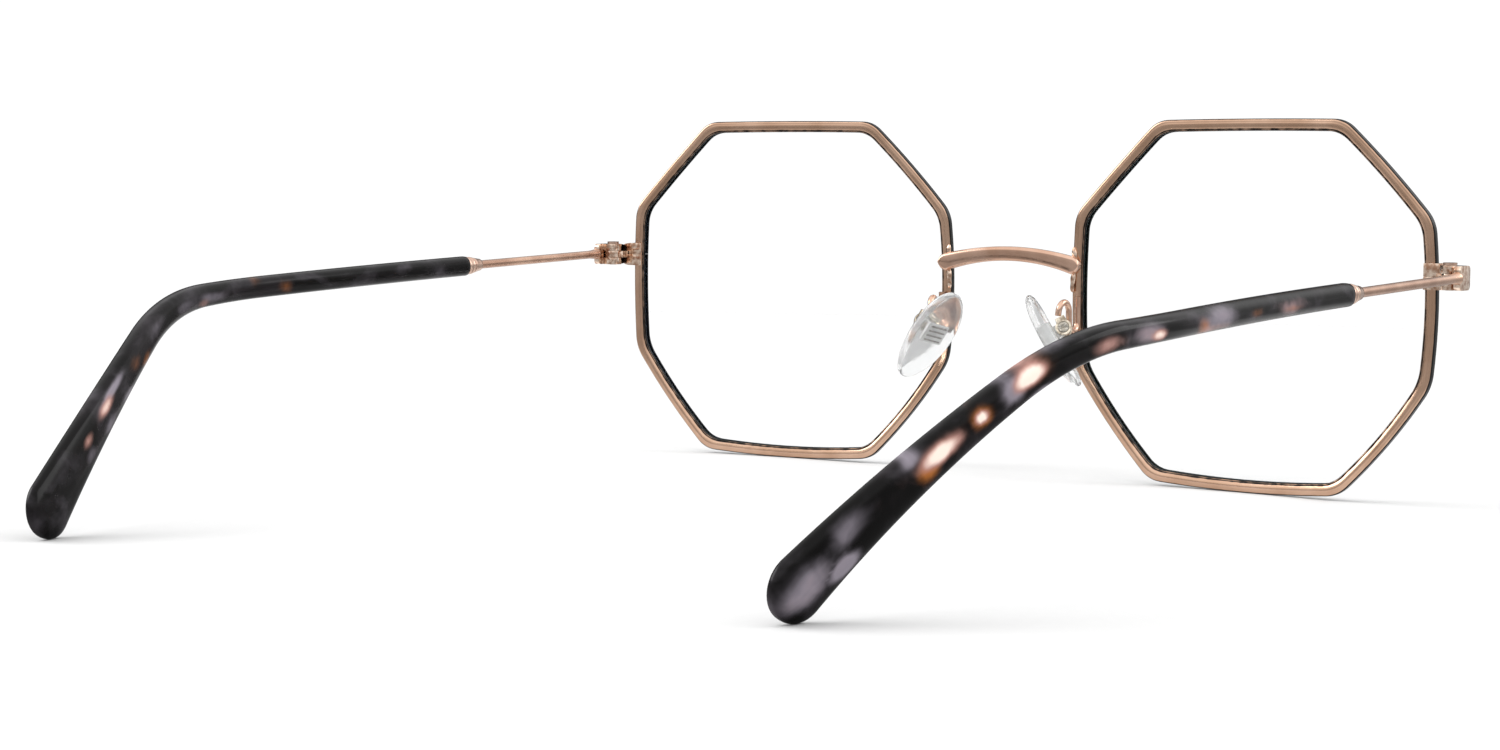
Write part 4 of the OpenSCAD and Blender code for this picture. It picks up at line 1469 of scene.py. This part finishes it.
@dataclass
class Temple:
    """Wire, ferrule and marbled sleeve of one temple."""

    side: Side
    tree: SweepTree
    path: TemplePath = field(default_factory=TemplePath)
    wire_r: float = 0.62
    flare_r: float = 0.84
    flare: float = 2.2
    ferrule_r: float = 1.35
    tip_h: float = 2.85
    tip_t: float = 2.85
    paddle_h: float = 7.0
    paddle_t: float = 2.2
    paddle_growth: float = 2.2
    squareness: float = 0.8
    play: float = 0.02
    chips: tuple = ()

    def along(self, rings: list[tuple[float, float, float]]) -> Stations:
        """Stations on the path.

        Args:
            rings: Distance, half-thickness and half-height of each ring.

        Returns:
            The stations.
        """
        rows = Stations()
        for s, t, h in rings:
            _, across, upward = self.path.headings(s)
            rows.put(self.path.point(s), across, upward, t, h, s)
        return rows

    def straight(self, start: float, rings: list[tuple[float, float]]) -> Stations:
        """Stations of a turned piece that stays straight.

        Args:
            start: Distance along the path at which it starts.
            rings: Distance from there and radius of each ring.

        Returns:
            The stations.
        """
        ahead, across, upward = self.path.headings(start)
        rows, base = Stations(), self.path.point(start)
        for l, r in rings:
            rows.put(base + l * ahead, across, upward, r, r, start + l)
        return rows

    def wire(self) -> Object:
        """Drawn wire with a flare where it is brazed to the end plate.

        Returns:
            The plain piece.
        """
        first = 2 * self.play
        rings = [(first, 0), (first, self.flare_r - 0.05), (first + 0.05, self.flare_r)]
        rings += [(l, self.wire_r + (self.flare_r - self.wire_r) * (1 - l / self.flare) ** 1.6)
                  for l in np.linspace(0.3, self.flare, 8)]
        rings += [(l, self.wire_r) for l in np.linspace(4, self.path.sleeve_at, 12)]
        core = self.wire_r - 0.06
        rows = self.straight(0, rings)
        for s in np.arange(self.path.sleeve_at + 1, self.path.length - 10, 1.5):
            _, across, upward = self.path.headings(s)
            rows.put(self.path.point(s), across, upward, core, core, s)
        rows.put(self.path.point(s + 0.1), across, upward, 0, 0, s)
        return self.tree.sweep(self.side.piece("TempleWire"), rows, self.side, True, WIRE_PLATING, 32)

    def ferrule(self) -> Object:
        """Turned ferrule: a cone, a groove and two rings, bored for the wire.

        Returns:
            The plain piece.
        """
        bore, small = self.wire_r + self.play, self.wire_r + 0.28
        neck, ring, wide = self.ferrule_r - 0.25, self.ferrule_r - 0.08, self.ferrule_r
        l = self.path.ferrule - self.play
        rings = [(0, bore), (0, small - 0.12), (0.05, small - 0.04), (0.14, small)]
        rings += [(l * (0.04 + 0.46 * k), small + (neck + 0.08 - small) * k**1.3)
                  for k in (0.25, 0.5, 0.75, 0.95)]
        rings += [(l * 0.5, neck + 0.05), (l * 0.52, neck - 0.04), (l * 0.565, neck - 0.04)]
        rings += [(l * (0.575 + 0.155 * k), ring - 0.16 * (2 * k - 1) ** 4) for k in np.linspace(0, 1, 9)]
        rings += [(l * 0.745, neck - 0.04), (l * 0.79, neck - 0.04)]
        rings += [(l * (0.8 + 0.19 * k), wide - 0.16 * (2 * k - 1) ** 4) for k in np.linspace(0, 1, 9)]
        rings += [(l, wide - 0.2), (l, bore), (0, bore)]
        rows = self.straight(self.path.bare, rings)
        return self.tree.sweep(self.side.piece("Ferrule"), rows, self.side, True, TURNED_PLATING, 48)

    def half_sizes(self, s: float) -> tuple[float, float]:
        """Half-thickness and half-height of the sleeve at s, ahead of its rounded end.

        Args:
            s: Distance from the end plate.

        Returns:
            The two sizes.
        """
        p = self.path
        t = np.interp(s, [p.bend_end, p.length], [self.tip_t / 2, self.paddle_t / 2])
        share = (s - p.straight_end) / (p.length - self.paddle_h / 2 - p.straight_end)
        h = self.tip_h + (self.paddle_h - self.tip_h) * min(max(share, 0), 1) ** self.paddle_growth
        return float(t), h / 2

    def tip(self) -> Object:
        """Marbled sleeve: a flattened round that grows to a paddle with a rounded end.

        Returns:
            The plain piece.
        """
        p, start = self.path, self.path.sleeve_at
        t, h = self.half_sizes(start)
        rings = [(start, 0, 0), (start, t - 0.15, h - 0.15), (start + 0.04, t - 0.06, h - 0.06),
                 (start + 0.15, t, h)]
        end = p.length - self.paddle_h / 2
        rings += [(s, *self.half_sizes(s)) for s in np.linspace(start + 0.8, end - 0.2, 150)]
        end_t = self.half_sizes(p.length)[0]
        for a in np.radians([0, 8, 16, 24, 32, 40, 48, 56, 63, 70, 76, 81, 85, 88]):
            rings.append((p.length - self.paddle_h / 2 * (1 - math.sin(a)), end_t * math.sqrt(math.cos(a)),
                          self.paddle_h / 2 * math.cos(a)))
        rings.append((p.length, 0, 0))
        rows = self.along(rings)
        piece = self.tree.sweep(
            self.side.piece("TempleTip"), rows, self.side, True, ACETATE, 64, self.squareness)
        self.mark_chips(piece)
        return piece

    def mark_chips(self, piece: Object) -> None:
        """Stores how much of each translucent chip, and of each painted edge highlight, shows at each point of the
        sleeve.

        Args:
            piece: The sleeve.
        """
        mesh = piece.data
        where = np.zeros(len(mesh.vertices) * 3, np.float32)
        mesh.attributes["sleeve"].data.foreach_get("vector", where)
        where = where.reshape(-1, 3)
        shown = np.zeros((len(where), 4), np.float32)
        shown[:, 3] = 1
        for chip in self.chips:
            away = ((where[:, 0] - chip.at) / (chip.length / 2)) ** 2
            away += ((where[:, 2] - chip.rise) / chip.spread) ** 2
            share = np.exp(-(away**1.2))
            for channel, strength in enumerate((chip.pink, chip.amber, chip.smoke)):
                shown[:, channel] = np.maximum(shown[:, channel], strength * share)
        mesh.attributes.new("chip", "FLOAT_COLOR", "POINT").data.foreach_set("color", shown.ravel())

    def build(self) -> None:
        """Makes, dresses and hands over the temple."""
        tag, body = self.side.tag, Body.TEMPLE.on(self.side)
        deliver(self.wire(), WIRE_PLATING, "rose_wire", body, f"temple_wire_{tag}")
        deliver(self.ferrule(), TURNED_PLATING, "pale_metal", body, f"ferrule_{tag}")
        deliver(self.tip(), ACETATE, "marbled_acetate", body, f"temple_tip_{tag}")


# ---------------------------------------------------------------- nose pads


@dataclass
class NosePad:
    """Arm, box, screw, insert and silicone pad on one side."""

    side: Side
    frame: dict
    tree: SweepTree
    screws: ScrewTree
    rib_tree: RibTree
    length: float = 15
    width: float = 7.8
    thickness: float = 2.3
    taper: float = 0.08
    bow: float = 0.007
    ring_points: int = 56
    middle: tuple[float, float, float] = (9.7, 6.95, -5.75)
    spread: float = 33.5
    splay: float = 25
    boss: float = 2.5
    rise: float = 0.8
    arm_r: float = 0.45
    arm_turns: tuple[float, float, float] = (0.5, -3.2, -1.4)
    foot: tuple[float, float] = (10.9626, 0.969118)
    box_top: float = 1.57
    box_middle: float = 0.2
    screw_seat: float = 0.92
    screw_sizes: tuple = (0.74, 0.3, 0.4, 2.2)
    rib_x: float = -0.44
    rib_count: int = 4
    rib_pitch: float = 0.74
    rib_size: tuple[float, float] = (0.15, 2.9)

    def seat(self, points: np.ndarray) -> np.ndarray:
        """Points of the pad's own frame in the front frame.

        Args:
            points: X away from the nose, Y along the rocking axis, Z up along the pad.

        Returns:
            The points, row by row.
        """
        a, b = math.radians(self.splay), math.radians(self.spread)
        x, y, z = np.asarray(points, float).T
        away, aback = x * math.cos(a) + y * math.sin(a), y * math.cos(a) - x * math.sin(a)
        return np.column_stack([
            self.middle[0] + away * math.cos(b) - z * math.sin(b), self.middle[1] + aback,
            self.middle[2] + away * math.sin(b) + z * math.cos(b)])

    def ring(self, tilt: float, draw: float = 1.0) -> np.ndarray:
        """An oval ring of the pad, drawn in by a share and bowed away from the nose at its ends.

        Args:
            tilt: Angle up the round of its edge, in radians.
            draw: Share of its size that is left.

        Returns:
            The points in the pad's own frame, row by row.
        """
        a = np.linspace(0, 2 * math.pi, self.ring_points, endpoint=False)
        share = math.cos(tilt) ** 0.45 * draw
        z = self.length / 2 * share * np.sin(a)
        y = self.width / 2 * share * np.cos(a) * (1 + self.taper * np.sin(a))
        return np.column_stack([self.thickness / 2 * math.sin(tilt) + z * z * self.bow, y, z])

    def pad(self) -> Object:
        """Silicone pad: a thin oval cushion with full edges.

        Returns:
            The plain piece.
        """
        tilts = np.radians(np.linspace(-84, 84, 17))
        shares = (0.02, 0.3, 0.6, 0.85)
        rings = [self.ring(tilts[0], s) for s in shares] + [self.ring(t) for t in tilts]
        rings += [self.ring(tilts[-1], s) for s in reversed(shares)]
        points = STAND.place(self.seat(np.vstack(rings)), self.side)
        return mesh_piece(self.side.piece("NosePad"), points, skin_faces(len(rings), len(rings[0])), 60)

    def arm(self) -> Object:
        """Bent wire: down the back of the rim, round, up, over and down into the box.

        Returns:
            The plain piece.
        """
        top = self.seat([[self.boss + self.box_middle, 0, self.rise + self.box_top + self.arm_r]])[0]
        start, low, high = self.arm_turns
        foot_x, foot_y = self.foot
        middle_y = (foot_y + top[1]) / 2

        def turn(a: float, b: float, z: float, way: int) -> list[tuple[float, float]]:
            """Half a circle from depth a to depth b at height z, over (1) or under (-1) it."""
            r, angles = (b - a) / 2, np.radians(np.arange(0, 181, 10))
            return [(a + r - r * math.cos(t), z + way * r * math.sin(t)) for t in angles]

        route = [(foot_y, start), *turn(foot_y, middle_y, low, -1), *turn(middle_y, top[1], high, 1),
                 (top[1], top[2])]
        # The share of the way, counted as the source counts its coarser steps
        count = [0.0] + [1 + k / 2 for k in range(19)] + [11 + k / 2 for k in range(19)] + [21.0]
        rows = [np.array([foot_x + (top[0] - foot_x) * (k / count[-1]) ** 2, y, z])
                for k, (y, z) in zip(count, route)]
        fine = [rows[0] + (rows[1] - rows[0]) * k / 4 for k in range(4)] + rows[1:-1]
        fine += [rows[-2] + (rows[-1] - rows[-2]) * k / 3 for k in (1, 2, 3)]
        stations = Stations()
        for k, p in enumerate(fine):
            ahead = fine[min(k + 1, len(fine) - 1)] - fine[max(k - 1, 0)]
            ahead = ahead / np.linalg.norm(ahead)
            across = np.cross([1, 0, 0], ahead)
            across = across / np.linalg.norm(across)
            upward = np.cross(ahead, across)
            if k == 0:
                stations.put(p, across, upward, 0, 0, 0)
                stations.put(p, across, upward, self.arm_r * 0.85, self.arm_r * 0.85, 0)
            stations.put(p, across, upward, self.arm_r, self.arm_r, k)
        stations.put(p, across, upward, 0, 0, k)
        return self.tree.sweep(self.side.piece("PadArm"), stations, self.side, False, BRIDGE_PLATING, 28)

    def ribs(self) -> Object:
        """Ribs that key the insert into the silicone, on its side towards the nose.

        Returns:
            The plain piece.
        """
        low = self.rise - self.rib_pitch * (self.rib_count - 1) / 2
        base, x, y, z = STAND.place(self.seat([
            [self.rib_x, 0, low], [self.rib_x + 1, 0, low], [self.rib_x, 1, low], [self.rib_x, 0, low + 1]]),
            self.side)
        turn = np.column_stack([(p - base) / MM for p in (x, y, z)])
        if self.side is Side.RIGHT:
            turn[:, 0] *= -1
        return self.rib_tree.ribs(
            self.side.piece("InsertRibs"), base, turn, self.rib_count, self.rib_pitch, self.rib_size)

    def build(self) -> None:
        """Makes, dresses and hands over the nose pad and what holds it."""
        tag, body = self.side.tag, Body.NOSE_PAD.on(self.side)
        deliver(self.arm(), BRIDGE_PLATING, "rim_metal", Body.FRONT.value, f"pad_arm_{tag}")
        deliver(machined(self.frame, f"pad_box_{tag}", self.side.piece("PadBox"), 0.1),
                BOX_PLATING, "pale_metal", Body.FRONT.value, f"pad_box_{tag}")
        seat, ahead = STAND.place(self.seat([
            [self.boss, self.screw_seat, self.rise], [self.boss, 5, self.rise]]), self.side)
        screw = self.screws.screw(self.side.piece("PadScrew"), seat, ahead - seat, self.screw_sizes)
        deliver(screw, SCREW_STEEL, "screw_steel", Body.FRONT.value, f"pad_screw_{tag}")
        deliver(machined(self.frame, f"pad_insert_{tag}", self.side.piece("PadInsert"), 0.08),
                INSERT, "clear_insert", body, f"pad_insert_{tag}")
        deliver(self.ribs(), RIBS, "clear_insert", body)
        deliver(self.pad(), SILICONE, "clear_silicone", body, f"nose_pad_{tag}")


# ---------------------------------------------------------------- studio


@dataclass
class Studio:
    """White table, soft light and the camera."""

    eye: tuple = (-158.9647, 329.2588, 18.3079)
    ahead: tuple = (0.524842, -0.847225, -0.082166)
    upward: tuple = (0.048945, -0.066331, 0.996597)
    focal_px: float = 2481.955
    image: tuple[int, int] = (1500, 750)
    sensor_mm: float = 36
    near_m: float = 0.005
    table_r: float = 0.6
    table_z: float = -2e-5
    glow_way: tuple[float, float, float] = (-0.6, -0.8, 0.0)
    screen_way: tuple[float, float, float] = (0.8, -0.6, 0.0)
    seen_white: float = 1.05

    def camera(self) -> None:
        """Camera at the photograph's place and angle, which are given in the front frame."""
        lens = bpy.data.cameras.new("Camera")
        lens.sensor_width = self.sensor_mm
        lens.sensor_fit = "HORIZONTAL"
        lens.lens = self.focal_px * self.sensor_mm / self.image[0]
        lens.clip_start = self.near_m
        made = bpy.data.objects.new("Camera", lens)
        bpy.context.scene.collection.objects.link(made)
        turn = STAND.turn(Side.LEFT, False)
        back, up = -Vector(turn @ self.ahead).normalized(), Vector(turn @ self.upward).normalized()
        right = up.cross(back).normalized()
        up = back.cross(right)
        facing = Matrix((right, up, back)).transposed().to_4x4()
        made.matrix_world = Matrix.Translation(STAND.place([self.eye])[0]) @ facing
        bpy.context.scene.camera = made

    def table(self) -> None:
        """Wide white table that fades into the background."""
        steps = 64
        turns = [2 * math.pi * k / steps for k in range(steps)]
        rim = [(self.table_r * math.cos(a), self.table_r * math.sin(a), self.table_z) for a in turns]
        mesh = bpy.data.meshes.new("Table")
        mesh.from_pydata(rim, [], [list(range(steps))])
        floor = new_object("Table", mesh)
        mesh.materials.append(PAPER.material())
        floor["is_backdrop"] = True

    @staticmethod
    def hang(lamp: bpy.types.Light, at: tuple[float, float, float]) -> Object:
        """Hangs a lamp at a place, aimed at the middle of the table.

        Args:
            lamp: The lamp.
            at: Its place in metres.

        Returns:
            The lamp's object.
        """
        made = bpy.data.objects.new(lamp.name, lamp)
        bpy.context.scene.collection.objects.link(made)
        made.location = at
        made.rotation_euler = Vector(at).to_track_quat("Z", "Y").to_euler()
        return made

    def lights(self) -> None:
        """A wide soft light overhead, two soft side lights and a white room with a dark screen on one side."""
        sun = bpy.data.lights.new("Ceiling", "SUN")
        sun.angle, sun.energy = math.radians(55), 1.6
        self.hang(sun, (0.75, 0.45, 1.0)).visible_glossy = False
        for name, at, size, power in (("Left light", (0.75, 0.35, 0.45), 0.5, 3.5),
                                      ("Right light", (-0.6, -0.45, 0.5), 0.45, 1.6)):
            lamp = bpy.data.lights.new(name, "AREA")
            lamp.size, lamp.energy = size, power
            self.hang(lamp, at)
        world = bpy.data.worlds.new("White room")
        bpy.context.scene.world = world
        world.use_nodes = True
        tree = world.node_tree
        tree.nodes.clear()
        path = add(tree, "ShaderNodeLightPath").outputs
        seen = add(tree, "ShaderNodeMath", {
            0: path["Is Camera Ray"], 1: path["Is Transmission Ray"]}, operation="MAXIMUM")
        toward = out(add(tree, "ShaderNodeTexCoord"), "Generated")
        height = add(tree, "ShaderNodeSeparateXYZ", {0: toward}).outputs[2]
        glow_side, screen_side = (
            add(tree, "ShaderNodeVectorMath", {0: toward, 1: way}, operation="DOT_PRODUCT")
            for way in (self.glow_way, self.screen_way))
        horizon = between(tree, glow_side, 0.5, 0.62, 0.5, 0.9)
        open_room = between(tree, height, horizon, 1.35, 0, 0.4)
        screened = between(tree, height, 0.08, 1.15, 0.25, 0.65)
        dark = between(tree, screen_side, 0, 1, 0.3, 0.65)
        shade = add(tree, "ShaderNodeMix", {"Factor": dark, "A": open_room, "B": screened})
        strength = add(tree, "ShaderNodeMix", {"Factor": seen, "A": shade, "B": self.seen_white})
        white = add(tree, "ShaderNodeBackground", {"Color": (1, 1, 1, 1), "Strength": strength})
        add(tree, "ShaderNodeOutputWorld", {"Surface": white})

    def build(self) -> None:
        """Sets up table, lights and camera."""
        self.camera()
        self.table()
        self.lights()
        view = bpy.context.scene.view_settings
        view.view_transform = "Standard"
        view.look = "None"


def save_sizes(before: tuple, after: tuple) -> None:
    """Args:
    before: Box of the CAD model.
    after: Box of the dressed model.
    """
    sizes = {name: [[float(x) for x in corner] for corner in box]
             for name, box in (("cad", before), ("visual", after))}
    for name, box in sizes.items():
        LOG.info("%s box in mm: %s", name, [[round(x / MM, 2) for x in corner] for corner in box])


# Chips of the right sleeve; the light smoke ones on its top and bottom edges are painted highlights
RIGHT_CHIPS_AND_EDGE_SHEEN = (
    Chip(51.5, 9, pink=0.5, smoke=0.7, spread=1.3),
    Chip(51.0, 6, amber=0.5, rise=-0.3, spread=0.5),
    Chip(60.4, 3.8, amber=0.45, pink=0.2, spread=0.8),
    Chip(70.0, 11.5, smoke=1.0, pink=0.25, spread=1.6),
    Chip(70.5, 9, pink=0.6, rise=-0.9, spread=0.7),
    Chip(73.4, 4, amber=0.6, rise=-0.5),
    Chip(84.6, 7, smoke=0.9, pink=0.4),
    Chip(83.0, 3.5, pink=0.95, rise=-0.4, spread=0.8),
    Chip(91.8, 6, pink=0.75, smoke=0.5, rise=-0.3, spread=1.1),
    Chip(101.0, 6.2, amber=0.55, rise=0.7, spread=1.5),
    Chip(102.2, 5.2, pink=1.25, smoke=0.5, rise=0.8, spread=1.1),
    Chip(104.8, 4, smoke=1.1, rise=0.8, spread=1.5),
    Chip(101.5, 5, smoke=0.8, rise=-1.4, spread=0.7),
    Chip(109.2, 3.4, amber=0.9, rise=0.6, spread=1.3),
    Chip(109.2, 2.2, pink=1.25, rise=0.6, spread=0.8),
    Chip(114.7, 6.8, pink=1.15, rise=0.6, spread=1.2),
    Chip(117.0, 3.6, amber=0.85, rise=-0.1, spread=1.3),
    # Partly a light streak in the marble, partly a painted highlight where the sleeve's rounded top edge catches
    # the light
    Chip(118.2, 3, smoke=0.9, rise=2.0, spread=0.8),
    Chip(121.6, 8, amber=0.25, rise=0.5, spread=1.6),
    Chip(127.5, 7, smoke=0.75, rise=1.2, spread=1.8),
    Chip(134.2, 8, smoke=1.0, pink=0.3, rise=0.2, spread=2.4),
    Chip(133.6, 3.5, amber=0.3, rise=0.3, spread=1.0),
    Chip(129.6, 5, smoke=1.3, pink=0.25, rise=-1.5, spread=1.2),
    # Painted highlights: light smoke along the sleeve's top and bottom edges, where the rounded edges catch the
    # light
    Chip(98.0, 5, smoke=0.6, rise=1.7, spread=0.6),
    Chip(112.0, 12, smoke=0.5, rise=-2.0, spread=0.5),
)
LEFT_CHIPS = (
    Chip(48.0, 9, smoke=0.45, rise=0.8, spread=0.8),
    Chip(62.0, 8, smoke=0.5, rise=0.6, spread=0.9),
    Chip(70.0, 6, smoke=0.55, rise=0.8, spread=0.8),
    Chip(73.2, 4, amber=0.5, rise=-0.2),
    Chip(78.7, 3, amber=0.4, rise=1.0),
    Chip(88.0, 7, smoke=0.7, rise=-0.2, spread=0.9),
    Chip(90.0, 3, pink=0.5, smoke=0.4, rise=-0.9, spread=0.8),
    Chip(95.0, 6, smoke=0.55, rise=-0.3, spread=1.0),
    Chip(102.0, 9, smoke=0.55, rise=0.4, spread=1.0),
    Chip(109.4, 4, amber=0.55, pink=0.4, rise=0.2, spread=1.2),
    Chip(107.0, 4, amber=0.75, pink=0.25, rise=-1.0, spread=1.0),
    Chip(113.0, 6, smoke=0.6, rise=-1.3, spread=0.6),
    Chip(116.0, 8, smoke=1.15, rise=1.2, spread=0.6),
    Chip(118.2, 5, pink=0.85, smoke=0.5, rise=0.8, spread=0.8),
    Chip(119.0, 8, smoke=0.65, rise=-1.2, spread=1.0),
    Chip(124.0, 3.4, pink=0.75, rise=0.6, spread=0.8),
    Chip(125.0, 4, smoke=0.6, rise=-0.9, spread=0.9),
)


def main() -> None:
    """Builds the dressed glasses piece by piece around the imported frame."""
    logging.basicConfig(level=logging.INFO, format="%(name)s: %(message)s")
    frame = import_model()
    cad_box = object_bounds()
    sweep, screws, ribs = SweepTree(), ScrewTree(), RibTree()
    Studio().build()
    Bridge(sweep).build()
    for side, chips in ((Side.LEFT, LEFT_CHIPS), (Side.RIGHT, RIGHT_CHIPS_AND_EDGE_SHEEN)):
        Eyewire(side).build()
        ClosingBlock(side, frame).build()
        Hinge(side, frame, screws, sweep).build()
        Temple(side, sweep, chips=chips).build()
        NosePad(side, frame, sweep, screws, ribs).build()
    save_sizes(cad_box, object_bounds())


if __name__ == "__main__":
    main()
